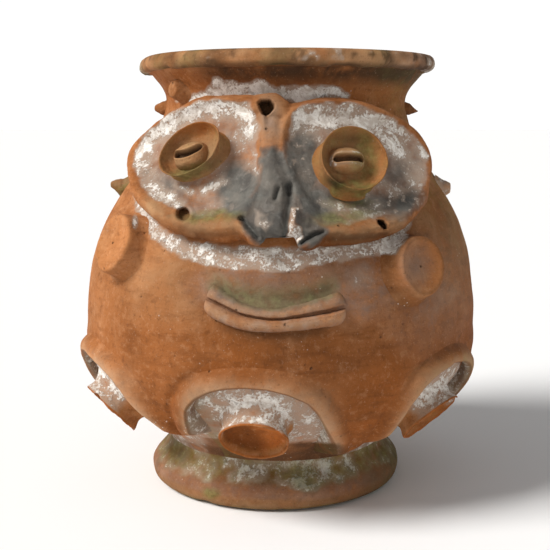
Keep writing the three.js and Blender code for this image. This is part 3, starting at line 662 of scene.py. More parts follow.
def clay_material():
    material = bpy.data.materials.new("fired_clay")
    material.use_nodes = True
    tree = material.node_tree
    tree.nodes.clear()
    link = tree.links.new
    shader = node(tree, "ShaderNodeBsdfPrincipled")
    link(shader.outputs[0], node(tree, "ShaderNodeOutputMaterial").inputs[0])
    coords = node(tree, "ShaderNodeTexCoord").outputs["Object"]

    def feed(socket, value):
        """Gives a socket a link, a colour or a number."""
        if isinstance(value, bpy.types.NodeSocket):
            link(value, socket)
        else:
            socket.default_value = (*value, 1) if isinstance(value, tuple) else value

    def texture(scale, detail, rough, offset=0.0, distortion=0.0, squash=1.0):
        place = node(tree, "ShaderNodeMapping")
        place.inputs["Scale"].default_value = (1.0, 1.0, squash)
        place.inputs["Location"].default_value = (offset, offset * 0.7, offset * 1.3)
        link(coords, place.inputs[0])
        n = node(tree, "ShaderNodeTexNoise")
        link(place.outputs[0], n.inputs["Vector"])
        settings = {"Scale": scale, "Detail": detail, "Roughness": rough, "Distortion": distortion}
        for label, value in settings.items():
            n.inputs[label].default_value = value
        return n.outputs["Fac"]

    def reckon(operation, a, b):
        n = node(tree, "ShaderNodeMath", operation=operation)
        feed(n.inputs[0], a)
        feed(n.inputs[1], b)
        return n.outputs[0]

    def times(a, b):
        return reckon("MULTIPLY", a, b)

    def plus(total, *shares):
        """A sum of a value and shares of others."""
        for value, share in shares:
            total = reckon("ADD", total, times(value, share))
        return total

    def ramp(value, low, high):
        n = node(tree, "ShaderNodeMapRange", interpolation_type="SMOOTHSTEP", clamp=True)
        link(value, n.inputs["Value"])
        n.inputs["From Min"].default_value = low
        n.inputs["From Max"].default_value = high
        return n.outputs[0]

    def mix(factor, a, b, blend="MIX"):
        n = node(tree, "ShaderNodeMix", data_type="RGBA", blend_type=blend)
        for socket, value in ((n.inputs[0], factor), (n.inputs[6], a), (n.inputs[7], b)):
            feed(socket, value)
        return n.outputs[2]

    def coated(base, *coats):
        """A base under some coats, each with its strength, its cover and its colour."""
        for strength, cover, colour in coats:
            base = mix(times(cover, strength), base, colour)
        return base

    def spots(scale, low, high):
        n = node(tree, "ShaderNodeTexVoronoi", feature="F1")
        link(coords, n.inputs["Vector"])
        n.inputs["Scale"].default_value = scale
        return ramp(n.outputs["Distance"], low, high)

    def paint(label):
        attribute = node(tree, "ShaderNodeAttribute", attribute_name=label)
        parts = node(tree, "ShaderNodeSeparateColor")
        link(attribute.outputs["Color"], parts.inputs[0])
        return (*parts.outputs, attribute.outputs["Alpha"])

    lime, mauve, grey, algae = paint("paint_a")
    dark, buff, red, tone = paint("paint_b")
    broad = texture(14, 4, 0.55)
    patchy = texture(42, 6, 0.62, 3.1, 0.4)
    fine = texture(150, 6, 0.65, 5.7)
    grit = texture(520, 4, 0.7, 9.2)
    crust = texture(95, 8, 0.72, 2.3, 0.8)
    streaks = texture(70, 8, 0.74, 7.7, 1.2)
    wiped = texture(26, 6, 0.66, 4.4, 0.3, 4.5)

    def broken(layer, value, other, share, low, high):
        """A painted layer, broken up by two textures."""
        return times(layer, ramp(plus(value, (other, share)), low, high))

    base = coated(
        mix(ramp(broad, 0.35, 0.68), (0.285, 0.100, 0.028), (0.385, 0.152, 0.053)),
        (0.6, ramp(patchy, 0.45, 0.68), (0.44, 0.205, 0.090)),
        (0.85, red, (0.285, 0.082, 0.015)),
        (0.5, ramp(wiped, 0.48, 0.66), (0.19, 0.062, 0.017)),
        (0.55, ramp(fine, 0.54, 0.68), (0.17, 0.055, 0.016)),
        (0.35, ramp(fine, 0.46, 0.34), (0.47, 0.225, 0.105)),
        (1.0, broken(buff, patchy, fine, 0.3, 0.35, 0.75), (0.36, 0.198, 0.095)),
        (0.85, broken(mauve, patchy, fine, 1.0, 0.55, 1.2), (0.285, 0.195, 0.150)),
    )
    # Lighter and darker stretches of the wall, set by the tone layer: partly the clay's own tone, partly
    # painted light and shade
    level = node(tree, "ShaderNodeCombineXYZ")
    shade = plus(0.42, (tone, 1.16))
    for socket in level.inputs:
        link(shade, socket)
    base = mix(1.0, base, level.outputs[0], "MULTIPLY")
    # Soot and painted shade, pale grains and dark pits in the clay
    fleck = times(spots(190, 0.16, 0.07), ramp(texture(38, 4, 0.6, 15.0), 0.58, 0.68))
    pit = times(spots(105, 0.17, 0.05), ramp(texture(60, 3, 0.5, 12.0), 0.56, 0.66))
    # Grey pigment, rubbed thin on the high spots
    slate = coated(
        mix(ramp(patchy, 0.35, 0.65), (0.062, 0.066, 0.063), (0.132, 0.131, 0.117)),
        (0.45, ramp(crust, 0.5, 0.7), (0.235, 0.228, 0.208)),
    )
    # Lime: a thin film, streaked and flecked white where it is thick
    film = times(ramp(plus(lime, (streaks, 0.35)), 0.2, 0.65), ramp(lime, 0.02, 0.15))
    thick = plus(lime, *((reckon("SUBTRACT", value, 0.5), share)
                         for value, share in ((streaks, 2.4), (fine, 1.6), (grit, 2.0))))
    crusted = times(ramp(thick, 0.50, 0.88), ramp(lime, 0.08, 0.3))
    chalk = mix(ramp(crust, 0.40, 0.60), (0.55, 0.485, 0.42), (0.86, 0.83, 0.78))
    green = mix(ramp(fine, 0.4, 0.65), (0.085, 0.088, 0.020), (0.20, 0.195, 0.06))
    base = coated(
        base,
        # The dark layer: soot and stains, with painted shade in hollows, under overhangs and on the shaded
        # right side
        (0.92, broken(dark, patchy, crust, 0.5, 0.30, 0.80), (0.035, 0.019, 0.010)),
        (0.30, ramp(grit, 0.60, 0.70), (0.52, 0.36, 0.25)),
        (0.40, ramp(grit, 0.42, 0.33), (0.09, 0.036, 0.014)),
        (0.75, fleck, (0.62, 0.56, 0.49)),
        (0.7, pit, (0.045, 0.022, 0.012)),
        (0.93, broken(grey, crust, grey, 0.7, 0.40, 0.85), slate),
        (0.62, film, (0.385, 0.305, 0.24)),
        (0.9, crusted, chalk),
        (0.5, times(ramp(crust, 0.58, 0.66), ramp(lime, 0.1, 0.5)), (0.15, 0.115, 0.085)),
        (0.72, broken(algae, patchy, crust, 0.6, 0.45, 0.95), green),
    )
    link(base, shader.inputs["Base Color"])
    link(plus(0.74, (fine, 0.25), (grey, -0.03)), shader.inputs["Roughness"])
    shader.inputs["Specular IOR Level"].default_value = 0.12
    relief = ((fine, 0.8), (patchy, 0.8), (wiped, 0.5), (crusted, 0.22), (pit, -1.2))
    bump = node(tree, "ShaderNodeBump")
    bump.inputs["Strength"].default_value = 0.9
    bump.inputs["Distance"].default_value = 0.0011
    link(plus(times(grit, 0.35), *relief), bump.inputs["Height"])
    link(bump.outputs[0], shader.inputs["Normal"])
    return material


CLAY = clay_material()


# Pot: one line from under the base, round the foot, up the belly, over the lip and down inside
def pot_line():
    """The part, radius and height of each point of the pot's section."""
    base, inner = FOOT_HEIGHT - BELLY_DROP, FOOT_BASE_RADIUS - FOOT_WALL
    swell = smooth_through([(0, 113.5), (0.10, 119.2), (0.22, 121.9), (FOOT_WIDEST, FOOT_RADIUS),
                            (0.45, 121.2), (0.62, 115.4), (0.8, 109.0), (0.93, 106.4),
                            (1.0, FOOT_TOP_RADIUS)])
    lip = [(129.6, 387.3), (132.4, 387.6), (135.2, 388.4), (137.0, 390.0), (137.9, 392.2),
           (LIP_RADIUS, 394.6), (137.6, 397.0), (136.4, 399.4), (134.4, 401.0), (131.8, 401.7),
           (128.0, 401.9), (124.0, 401.9), (120.6, 401.4), (118.2, 399.9), (116.9, 397.4), (116.3, 394.0),
           (115.9, 391.0)]
    share = np.linspace(0.06, 1.0, 24)
    outer = np.linspace(FOOT_HEIGHT + 1.2, NECK_BASE, 170)
    collar = np.linspace(NECK_BASE + 1.6, LIP_BASE - 1.5, 22)
    throat = np.linspace(387, NECK_BASE, 16)
    inside = np.linspace(NECK_BASE - 3, FOOT_HEIGHT + 4, 70)
    thickness = WALL * np.hypot(1, skin_slope(inside)) * 0.97
    bowl = np.array([84, 72, 55, 36, 18, 4])
    parts, line = [], []
    for part, r, z in (
        ("belly", [4, *np.linspace(16, inner, 9)], base),
        ("foot", inner + 0.2, np.linspace(base - 2, 2.5, 9)),
        ("foot", [inner + 1.0, inner + 2.6], [0.9, 0.0]),
        ("foot", np.linspace(inner + 5, FOOT_BASE_RADIUS - 3.5, 4), 0.0),
        ("foot", [FOOT_BASE_RADIUS - 1.0, FOOT_BASE_RADIUS + 1.2], [0.25, 1.2]),
        ("foot", np.interp(share, *swell), FOOT_HEIGHT * share),
        ("belly", skin(outer) + 2.2 * bell(outer, FOOT_HEIGHT, 3.0), outer),
        ("neck", skin(collar), collar),
        ("lip", *np.transpose(lip)),
        ("neck", skin(throat) - WALL - 0.4, throat),
        ("belly", skin(inside) - thickness, [*inside[:-1], FOOT_HEIGHT + 3]),
        ("belly", bowl, 36 + bowl / 90),
    ):
        stretch = np.stack(np.broadcast_arrays(r, z), -1)
        parts += [part] * len(stretch)
        line.append(stretch)
    return np.array(parts), *np.concatenate(line).astype(float).T


def lip_wave(angle):
    """How far the lip's rim sinks, in millimetres, round the jar."""
    sink = 0.3 - 0.5 * np.cos(np.radians(angle - 60))
    return np.maximum(sink + 3.0 * bell((angle + 92 + 180) % 360 - 180, 0, 26), 0)


def make_pot():
    part, r, z = pot_line()
    columns = 460
    a = np.tile(np.arange(columns) * 360.0 / columns - 180.0, len(r))
    radial = outward(a)
    rr, zz = np.repeat(r, columns), np.repeat(z, columns)
    points = on_jar(a, zz, rr)
    quads = grid_quads(len(r), columns, True)
    # Stay within the measured outline: only sink where the form is at its widest
    scale = np.clip((rr - 20) / 60, 0, 1) * smoothstep(0, 12, zz)
    points += radial * ((unevenness(points) - DRAWN_IN) * scale)[:, None]
    outside = np.arange(len(points)) < np.argmax(part == "neck") * columns
    outside &= (zz > FOOT_HEIGHT + 4) & (zz < NECK_BASE)
    for i in range(HOODS):
        axes, middle = cup_frame(i)
        local = (points - middle) @ axes
        reach = np.hypot(local[:, 0], local[:, 1])
        dent = 6.5 * smoothstep(23.5, 18, reach) * outside * (local[:, 2] > -30)
        points -= axes[:, 2] * dent[:, None]
    x, y = seen_at(points)
    smile = y - (306.5 - 0.0040 * (x - 277) ** 2)
    recess = 2.6 * bell(smile, -4, 7.5) * between(x, 200, 225, 352, 330)
    points -= radial * (recess * outside * (points[:, 1] < 0))[:, None]
    # The lip's band is ragged below and dips at the left
    lip = smoothstep(385, 389, zz) * (rr > 114)
    ragged = noise(points, 18, 81, 3) * 2.2 + noise(points, 5, 82, 2) * 0.7
    points[:, 2] += ragged * bell(zz, 388.5, 2.2) * (rr > 126) - lip * lip_wave(a) * 0.9
    points[:, 2] = np.minimum(points[:, 2], JAR_HEIGHT - 0.1)
    # Chips under the foot
    chips = bell(a, -33, 3.2) * 3.0 + bell(a, 3, 1.6) * 1.2
    points -= radial * (chips * bell(zz, 1.5, 3.0) * (rr > 108))[:, None]
    points[:, 2] = np.maximum(points[:, 2], 0.0)
    normals = vertex_normals(points, quads)
    owner = np.repeat(part[:-1], columns)
    for name, tag, nodes, paint, slot in (
        ("foot_ring_clay", "foot", ["foot_ring"], foot_paint, "buff_clay"),
        ("belly_wall", "belly", ["belly"], pot_paint, "clay"),
        ("neck_wall", "neck", ["neck_collar"], pot_paint, "dark_clay"),
        ("lip_coil", "lip", ["lip_rim"], lip_paint, "buff_clay"),
    ):
        add_mesh(name, nodes, points, quads[owner == tag], normals, paint(points))


# A frame on a slanted wall: x to the viewer's right, y up the wall, z straight out of it
def wall_frame(angle, z, r, slope):
    turn = math.radians(angle)
    right = np.array([math.cos(turn), math.sin(turn), 0.0])
    out = np.array([math.sin(turn), -math.cos(turn), -slope])
    out /= np.linalg.norm(out)
    up = np.cross(out, right)
    return np.stack([right, up, out], 1), on_jar(angle, z, r)


# How far each cup sits off the middle of its hood, in degrees
CUP_TURNS = (0.5, 1.0, -2.0, 2.0, -1.0, 1.5)


def cup_frame(i):
    return wall_frame(HOOD_PHASE + HOOD_PITCH * i + CUP_TURNS[i], CUP_MIDDLE, skin(CUP_MIDDLE) - SEATED,
                      skin_slope(CUP_MIDDLE) * 0.97)


make_pot()


def turned_frame(frame_pair, degrees):
    axes, origin = frame_pair
    c, s = math.cos(math.radians(degrees)), math.sin(math.radians(degrees))
    return axes @ np.array([[c, -s, 0], [s, c, 0], [0, 0, 1.0]]), origin


def turned_piece(profile, sides, flatten=1.0, step=0.8, rounds=2):
    """A turned shape from a profile of (radius, height) pairs, squeezed to an oval."""
    r, z = eased(spaced(profile, step=step), rounds).T
    angle = np.arange(sides) * 2 * math.pi / sides
    across = np.outer(r, np.cos(angle)), np.outer(r, np.sin(angle)) * flatten
    points = np.stack([*across, np.repeat(z[:, None], sides, 1)], -1).reshape(-1, 3)
    return points, grid_quads(len(r), sides, True)


def roughened(points, quads, coarse, fine, seed, size=14):
    normals = vertex_normals(points, quads)
    bump = noise(points, size, 90 + seed, 2) * coarse + noise(points, size / 3.5, 95 + seed, 2) * fine
    return points + normals * bump[:, None]


def set_on(local, quads, frame_pair, *rough):
    """A piece from its own frame in its place on the jar, roughened."""
    axes, origin = frame_pair
    return roughened(local @ axes.T + origin, quads, *rough)


def add_turned(name, nodes, points, quads, paint):
    quads = facing_out(points, quads)
    add_mesh(name, nodes, points, quads, vertex_normals(points, quads), paint)


# The mask's two lobes, its web and the beak are luted into one dished plate
LEFT_CREST = [(253, 101), (235, 99), (215, 99.5), (195, 103.5), (177, 111), (160, 121), (145, 133.5),
              (133, 145), (127.5, 156), (128, 169), (132, 182), (140, 194), (150, 205), (163, 214),
              (178, 220), (195, 222.5), (213, 221.5), (229, 217.5), (240, 211), (248, 200), (256, 185),
              (262, 165), (264, 145), (264, 125), (262, 110)]
LEFT_EDGE = [(258, 97), (235, 96), (215, 96.5), (191, 99.5), (175, 106), (161.4, 115), (145.5, 129.8),
             (134, 140), (122.7, 149), (120.5, 157), (121, 170), (125, 182), (134, 195), (145.5, 210.5),
             (159, 222), (175, 232), (191, 237), (209, 241), (236, 243.5), (252, 243), (268, 225),
             (276, 190), (276, 160), (272, 130), (268, 108)]
RIGHT_CREST = [(292, 111.5), (300, 106), (316, 102.5), (336, 101), (354.5, 102.5), (372.7, 108),
               (391, 115.5), (407, 124), (421, 136.5), (430.5, 153), (431, 170), (427, 186), (418, 201),
               (407, 213), (393, 221.5), (377, 226.5), (359, 228.5), (341, 228), (327, 226), (312, 218),
               (300, 200), (290, 180), (284, 155), (282, 135), (286, 120)]
RIGHT_EDGE = [(286, 106), (300, 102), (316, 100), (336, 99), (355, 100.5), (375, 106), (393, 114),
              (418, 129), (430, 140), (438, 158), (438, 176), (433, 191), (423, 206), (413.6, 219),
              (400, 231), (384, 238), (361, 243), (341, 245), (320, 246), (300, 243), (285, 225), (276, 190),
              (272, 160), (272, 130), (276, 112)]
MEAN_SEAT, LOBE_SIDES, ROLL_SIDES, ROLL_STEPS = 150.0, 240, 20, 40


def on_mask(u, z, lift):
    """Places that stand off the mask's seat, from its own unrolled plane."""
    return on_jar(np.degrees(u / MEAN_SEAT), z, mask_seat(z) + lift)


def cast_on_mask(marks, lift):
    angle, z = cast(marks, lambda h: mask_seat(h) + lift)
    return np.radians(angle) * MEAN_SEAT, z


def closed_ends(points, sides):
    """A swept or turned grid, both its open ends capped with a fan to the middle."""
    rows = len(points) // sides
    points = np.concatenate([points, [points[:sides].mean(0), points[-sides:].mean(0)]])
    j = np.arange(sides)
    k = (j + 1) % sides
    low, high = np.full(sides, rows * sides), np.full(sides, rows * sides + 1)
    top = (rows - 1) * sides
    caps = [np.stack([low, k, j, low], -1), np.stack([high, top + j, top + k, high], -1)]
    return points, np.concatenate([grid_quads(rows, sides, True), *caps])


def polar_outline(marks, lift, centre):
    """An outline's distance from a centre, by direction, in the mask's own unrolled plane."""
    u, v = cast_on_mask(marks, lift)
    u, v = u - centre[0], v - centre[1]
    direction = np.degrees(np.arctan2(v, u)) % 360
    order = np.argsort(direction)
    d, r = direction[order], np.hypot(u, v)[order]
    at = np.arange(LOBE_SIDES) * 360.0 / LOBE_SIDES
    value = np.interp(at, np.concatenate([d - 360, d, d + 360]), np.tile(r, 3))
    kernel = np.array([1, 4, 6, 4, 1]) / 16
    for _ in range(3):
        value = sum(w * np.roll(value, k - 2) for k, w in enumerate(kernel))
    return np.radians(at), value


def lobe(crest_marks, edge_marks, centre_mark):
    centre = np.ravel(cast_on_mask([centre_mark], 8))
    turn, crest = polar_outline(crest_marks, 18, centre)
    _, edge = polar_outline(edge_marks, 9, centre)
    edge = np.clip(edge, crest + 3.0, crest + 6.5 + 14 * smoothstep(0.05, 0.75, -np.sin(turn)))
    # The dish out to its crest, the rim down to its edge, the side wall and the back
    rows = [(crest * share, lift) for share, lift in (
        (0.02, 7.4), (0.15, 7.4), (0.3, 7.4), (0.45, 7.5), (0.58, 7.8), (0.7, 8.6), (0.78, 9.8),
        (0.85, 11.6), (0.91, 14.0), (0.96, 16.6), (0.985, 17.8), (1.0, 18.2))]
    rows += [(crest + (edge - crest) * share, lift) for share, lift in (
        (0.16, 18.0), (0.36, 17.0), (0.58, 15.0), (0.8, 12.2), (1.0, 8.5))]
    rows += [(edge - inset, lift) for inset, lift in (
        (-0.2, 5.0), (0.4, 1.0), (1.2, -4.0), (2.0, -12.0), (2.0, -20.0))]
    rows += [(edge * share, -20.0) for share in (0.85, 0.6, 0.3, 0.02)]
    points = [on_mask(centre[0] + reach * np.cos(turn), centre[1] + reach * np.sin(turn), lift)
              for reach, lift in rows]
    return closed_ends(np.concatenate(points), LOBE_SIDES)


def roll(marks, lifts, widths, heights):
    """A roll of clay along front-view marks on the mask: half widths and heights in millimetres."""
    at = np.linspace(0, 1, ROLL_STEPS)
    given = (*cast_on_mask(marks, 14), lifts, widths, heights)
    u, z, lift, width, height = (np.interp(at, np.linspace(0, 1, len(v)), v) for v in given)
    u, z = eased(u, 3), eased(z, 3)
    nu, nz = crossways(u, z)
    around = np.arange(ROLL_SIDES) * 2 * math.pi / ROLL_SIDES
    end = np.sqrt(np.clip(1 - (2 * at - 1) ** 8, 0.0004, 1))
    across = np.outer(width * end, np.cos(around))
    out = lift[:, None] + np.outer(height * end, np.sin(around))
    points = on_mask(u[:, None] + nu[:, None] * across, z[:, None] + nz[:, None] * across, out)
    return closed_ends(points.reshape(-1, 3), ROLL_SIDES)


def remeshed(pieces, voxel):
    """Melts closed pieces, in millimetres, into one evenly meshed body of clay."""
    starts = np.cumsum([0] + [len(p) for p, _ in pieces])
    points = np.concatenate([p for p, _ in pieces])
    faces = [tuple(q[:3]) if q[3] == q[0] else tuple(q)
             for (_, quads), start in zip(pieces, starts) for q in (quads + start).tolist()]
    mesh = bpy.data.meshes.new("temporary")
    mesh.from_pydata((points * MM).tolist(), [], faces)
    mesh.update()
    thing = bpy.data.objects.new("temporary", mesh)
    bpy.context.scene.collection.objects.link(thing)
    modifier = thing.modifiers.new("melt", "REMESH")
    modifier.mode = "VOXEL"
    modifier.voxel_size = voxel * MM
    bpy.context.view_layer.update()
    result = thing.evaluated_get(bpy.context.evaluated_depsgraph_get()).to_mesh()
    out = np.empty(len(result.vertices) * 3)
    result.vertices.foreach_get("co", out)
    loops = np.empty(len(result.loops), np.int32)
    result.loops.foreach_get("vertex_index", loops)
    bpy.data.objects.remove(thing)
    bpy.data.meshes.remove(mesh)
    return out.reshape(-1, 3) / MM, loops.reshape(-1, 4).astype(np.int64)


def labelled(points, quads, sources):
    """The source piece that each face of a melted body came from."""
    owner = [tag for tag, p in sources for _ in p]
    tree = kdtree.KDTree(len(owner))
    for k, place in enumerate(np.concatenate([p for _, p in sources])):
        tree.insert(Vector(place), k)
    tree.balance()
    return np.array([owner[tree.find(Vector(middle))[1]] for middle in points[quads].mean(1)])


MASK_PIECES = [
    ("mask", lobe(LEFT_CREST, LEFT_EDGE, (196, 163))),
    ("mask", lobe(RIGHT_CREST, RIGHT_EDGE, (352, 168))),
    # The web between the lobes, and a plug under it
    ("mask", roll([(246, 104), (258, 105), (272, 106), (284, 110), (293, 114)],
                  [6, 8, 8, 8, 6], [7, 9, 11, 8, 6], [11, 12, 12, 11, 10])),
    ("mask", roll([(265, 113), (265.5, 121), (266, 130), (267, 140)], [5], [8], [11.5, 11.5, 11, 10])),
    ("beak", roll([(270, 112), (272, 128), (273, 145), (275, 162), (277, 180), (279, 198), (281, 213),
                   (283, 227), (284, 240)],
                  [6, 6, 6, 6, 6, 5.5, 5, 4.5, 3], [14, 13.5, 13.5, 14.5, 17.5, 22, 29, 32, 26],
                  [12.5, 12.5, 12.8, 13.5, 15, 16.5, 18, 18, 15])),
    ("left", roll([(239, 216), (245, 226), (252, 235), (262, 243)],
                  [9, 9, 9, 8], [6, 7, 7, 6], [8, 10, 11, 9])),
    ("right", roll([(326, 230), (318, 237), (308, 242), (297, 245)],
                   [8, 9, 9, 8], [6, 7, 7, 6], [8, 10, 11, 9])),
]
# The nose as it was worked with fingers and a stick: raised (+) and pressed (-) strokes in the front view
NOSE_STROKES = [
    (-5.5, 4.6, (288, 186), (289.5, 198), (288, 212), (286, 226), (284.5, 241)),
    (-4.0, 4.2, (289, 186), (290, 193)),
    (-4.0, 2.4, (278, 188), (275.5, 198)),
    (2.2, 7.5, (270, 150), (267.5, 165), (271, 184)),
    (1.3, 2.4, (279, 177.5), (293, 178.5)),
    (-1.4, 4.0, (277, 152), (282, 165), (287, 176)),
    (-6.5, 2.4, (241, 218.5), (246, 223), (252, 230), (257.5, 237.5)),
    (2.6, 3.6, (238.5, 223), (246, 233), (254, 241), (263, 245)),
    (-6.0, 2.3, (302, 243.5), (308, 238.5), (315, 234.5), (323, 232)),
    (2.4, 3.8, (305, 247), (314, 242.5), (324, 235.5)),
    (2.4, 6.5, (295, 214), (292, 226), (294, 240)),
    (-6.0, 3.2, (270, 249), (283, 245.5), (296, 249)),
    (1.4, 9.0, (262, 205), (258, 222)),
    (1.6, 3.0, (306, 231), (340, 231.5), (372, 229.5), (396, 222)),
    (-1.6, 3.0, (306, 237.5), (340, 238), (376, 235.5), (400, 227)),
    (1.2, 3.2, (165, 218), (186, 226), (215, 229), (238, 226)),
    (-1.4, 4.0, (180, 232), (210, 236.5), (240, 235)),
]
TOP_HOLE = [(258, 102.5), (261.5, 99.5), (270, 99.5), (273.5, 104), (274, 107.5), (269.5, 113), (266, 115.5),
            (262.5, 113.5), (260, 107.5)]
RIGHT_HOLE = [(378, 220), (383, 220.5), (387, 224.5), (388, 229), (384, 229), (379.5, 225)]


def make_mask():
    points, quads = remeshed([(p, facing_out(p, q)) for _, (p, q) in MASK_PIECES], 1.1)
    bridge = np.clip(blob(*seen_at(points), 3, 270, 128, 26, 30), 0, 1) * (points[:, 1] < 0)
    points = relaxed(points, quads, 5)
    points += (relaxed(points, quads, 60) - points) * bridge[:, None]
    toward = np.array([0, -math.cos(PITCH), math.sin(PITCH)])
    x, y = seen_at(points)
    seen = smoothstep(0.0, 0.35, vertex_normals(points, quads) @ toward) * (points[:, 1] < 0)
    worked = sum(stroke(x, y, *row) for row in NOSE_STROKES)
    # The holes at the top, at the right and, with its collar, at the left
    reach = np.hypot(x - 183.5, y - 214.3)
    sink = 15 * smoothstep(-0.8, 1.0, outline_distance(x, y, TOP_HOLE)) * (np.hypot(x - 266, y - 107.5) < 12)
    sink += 12 * smoothstep(-0.8, 1.0, outline_distance(x, y, RIGHT_HOLE)) + 9 * smoothstep(7.2, 5.6, reach)
    # The dark pocket under the right eye's cup
    sink += 5 * smoothstep(0, 0.6, blob(x, y, 1, 350, 198, 26, 11, 12))
    points += toward * ((worked + 1.6 * bell(reach, 9, 2.2) - sink) * seen)[:, None]
    rims = noise(points, 24, 61, 3) * 0.9 + noise(points, 6, 62, 2) * 0.3
    rims += (outline_distance(x, y, NOSE) > 0) * noise(points, 8, 63, 2) * 0.9
    points += vertex_normals(points, quads) * rims[:, None]
    points = relaxed(points, quads, 1)
    a, b = mask_paint(points)
    # The holes and the pocket under the right eye are painted dark as shade, with their lime and mauve taken
    # off; the pressed grooves are painted darker as shade too
    hollow = np.clip(sink / 7 - 0.1, 0, 1) * seen
    b[:, 0] = most(b[:, 0], hollow * np.where(reach < 12, 0.5, 1.0), np.clip(-worked / 5, 0, 1) * seen * 0.8)
    a[:, :2] *= 1 - hollow[:, None]
    normals = vertex_normals(points, quads)
    owner = labelled(points, quads, [(tag, p) for tag, (p, _) in MASK_PIECES])
    for name, tag, nodes, slot in (
        ("mask_plate", "mask", ["face_mask"], "limed_clay"),
        ("beak_nose", "beak", ["beak_ridge"], "grey_pigment"),
        ("nostril_fold_left", "left", ["nostril_wing_left"], "grey_pigment"),
        ("nostril_fold_right", "right", ["nostril_wing_right"], "grey_pigment"),
    ):
        add_mesh(name, nodes, points, quads[owner == tag], normals, (a, b))


make_mask()

# Eyes: thin-lipped cups with slit buttons in them
MASK_THICKNESS, EYE_DEPTH = 8.0, 15.0
BUTTON_WIDTH, BUTTON_HEIGHT, SQUARENESS, SLIT_HALF = 15.6, 12.0, 2.6, 3.0
EYES = {
    "left": {"angle": -29, "share": 0.43, "tilt": 32, "slit": 18, "flat": 22 / 29, "aside": (-3.5, -1.5),
             "bow": 0.02},
    "right": {"angle": 20, "share": 0.49, "tilt": -8, "slit": -2, "flat": 28 / 29, "aside": (-3.5, 1.0),
              "bow": -0.004},
}


def eye_paint(points, side):
    x, y = front_places(points)
    fine = noise(points, 8, 101, 3)
    if side == "left":
        return layers(
            points,
            lime=blob(x, y, 0.5, 200, 183, 34, 5, -12),
            algae=blob(x, y, 1.5, 188, 172, 26, 10, -15) + 0.22 + 0.3 * fine,
            # Painted shade on the cup's lower right
            dark=blob(x, y, 0.5, 206, 166, 24, 9, -25),
            buff=blob(x, y, 1.6, 200, 160, 50, 34),
            red=blob(x, y, 1.2, 198, 132, 34, 16),
            tone=0.40 + 0.14 * fine + blob(x, y, 0.12, 200, 130, 40, 18),
        )
    return layers(
        points,
        algae=blobs(x, y, (2.6, 354, 189, 26, 10, -10), (1.2, 366, 160, 16, 36)) + 0.35 + 0.3 * fine,
        # Painted shade under the cup's lower-left outer wall and inside below its upper lip
        dark=blobs(x, y, (1.3, 338, 183, 20, 9), (0.6, 352, 138, 26, 8)),
        buff=blob(x, y, 1.4, 347, 160, 36, 40),
        red=blob(x, y, 1.2, 328, 142, 22, 18),
        tone=0.38 + 0.14 * fine,
    )


def make_eye(side):
    eye = EYES[side]
    z = MASK_TOP + (MASK_BOTTOM - MASK_TOP) * eye["share"]
    base = wall_frame(eye["angle"], z, mask_seat(z) + MASK_THICKNESS, MASK_SLOPE)
    cup = [(31, -4), (28.4, -1.5), (26.6, 2), (26.9, 7), (28.1, 12), (28.9, EYE_DEPTH - 0.6),
           (28.7, EYE_DEPTH + 0.2), (28.1, EYE_DEPTH + 0.4), (27.4, EYE_DEPTH - 0.4), (26.2, 11),
           (24.2, 7.6), (20.5, 5.2), (15, 4.2), (1, 4)]
    points, quads = turned_piece(cup, 160, eye["flat"], 0.7, 1)
    level = points * (1, 1, 0)
    rise = smoothstep(4, 14, points[:, 2])
    points[:, 2] += (noise(level, 18, 110, 2) * 1.3 + noise(level, 6, 111, 2) * 0.4) * rise
    points[:, :2] *= (1 + 0.04 * noise(level, 26, 112, 2) * rise)[:, None]
    points = set_on(points, quads, turned_frame(base, eye["tilt"]), 0.4, 0.2, 1)
    add_turned(f"eye_ring_{side}", [f"eye_cup_{side}"], points, quads, eye_paint(points, side))
    # The button: a rounded pad with a slit pressed across it
    rows, sides = 64, 150
    reach = np.repeat(np.linspace(0.01, 1.14, rows), sides)
    turn = np.tile(np.arange(sides) * 2 * math.pi / sides, rows)
    corner = (np.abs(np.cos(turn)) ** SQUARENESS + np.abs(np.sin(turn)) ** SQUARENESS) ** (-1 / SQUARENESS)
    x = BUTTON_WIDTH * reach * np.cos(turn) * corner
    y = BUTTON_HEIGHT * reach * np.sin(turn) * corner
    gap = np.hypot(np.maximum(np.abs(x) - 10.0, 0), y - eye["bow"] * (x ** 2 - 40)) - SLIT_HALF
    slit = smoothstep(0.5, -0.7, gap)
    height = 12.6 * np.sqrt(1 - np.clip(reach, 0, 1) ** 5) - 10 * np.clip(reach - 1, 0, 1)
    height += 1.3 * bell(gap, 1.3, 1.3) - 6.0 * slit
    local = np.stack([x + eye["aside"][0], y + eye["aside"][1], height], -1)
    quads = grid_quads(rows, sides, True)
    points = set_on(local, quads, turned_frame(base, eye["slit"]), 0.3, 0.15, 2)
    quads, normals = facing(points, quads, base[0][:, 2])
    a, b = eye_paint(points, side)
    # The slit's lips: a little lime, and painted lighter as a highlight
    pale = bell(gap, 2.0, 1.6)
    a[:, 0] = most(a[:, 0] * 0.5, pale * (0.25 if side == "right" else 0.08))
    a[:, 3] *= (1 - slit) * 0.7
    # The slit itself is painted dark as shade
    b[:, 0] = most(b[:, 0] * 0.4, slit)
    b[:, 1] = 0.9
    b[:, 2] *= 0.3
    b[:, 3] = 0.42 + 0.18 * pale
    add_mesh(f"eye_button_{side}", [f"eye_boss_{side}"], points, quads, normals, (a, b))


for side in EYES:
    make_eye(side)


# Ear discs, shoulder lugs, neck lugs and the knob
def piece_paint(points, seed, buff, dark, tone, lime=0.0, algae=0.0):
    fine = noise(points, 9, 120 + seed, 3)
    broad = noise(points, 30, 125 + seed, 2)
    return layers(points, lime=lime * (0.7 + 0.8 * fine), algae=algae * (0.7 + 0.6 * broad),
                  dark=dark * (0.6 + 0.9 * broad), buff=buff * (0.8 + 0.5 * broad),
                  tone=tone + 0.08 * (fine + broad))


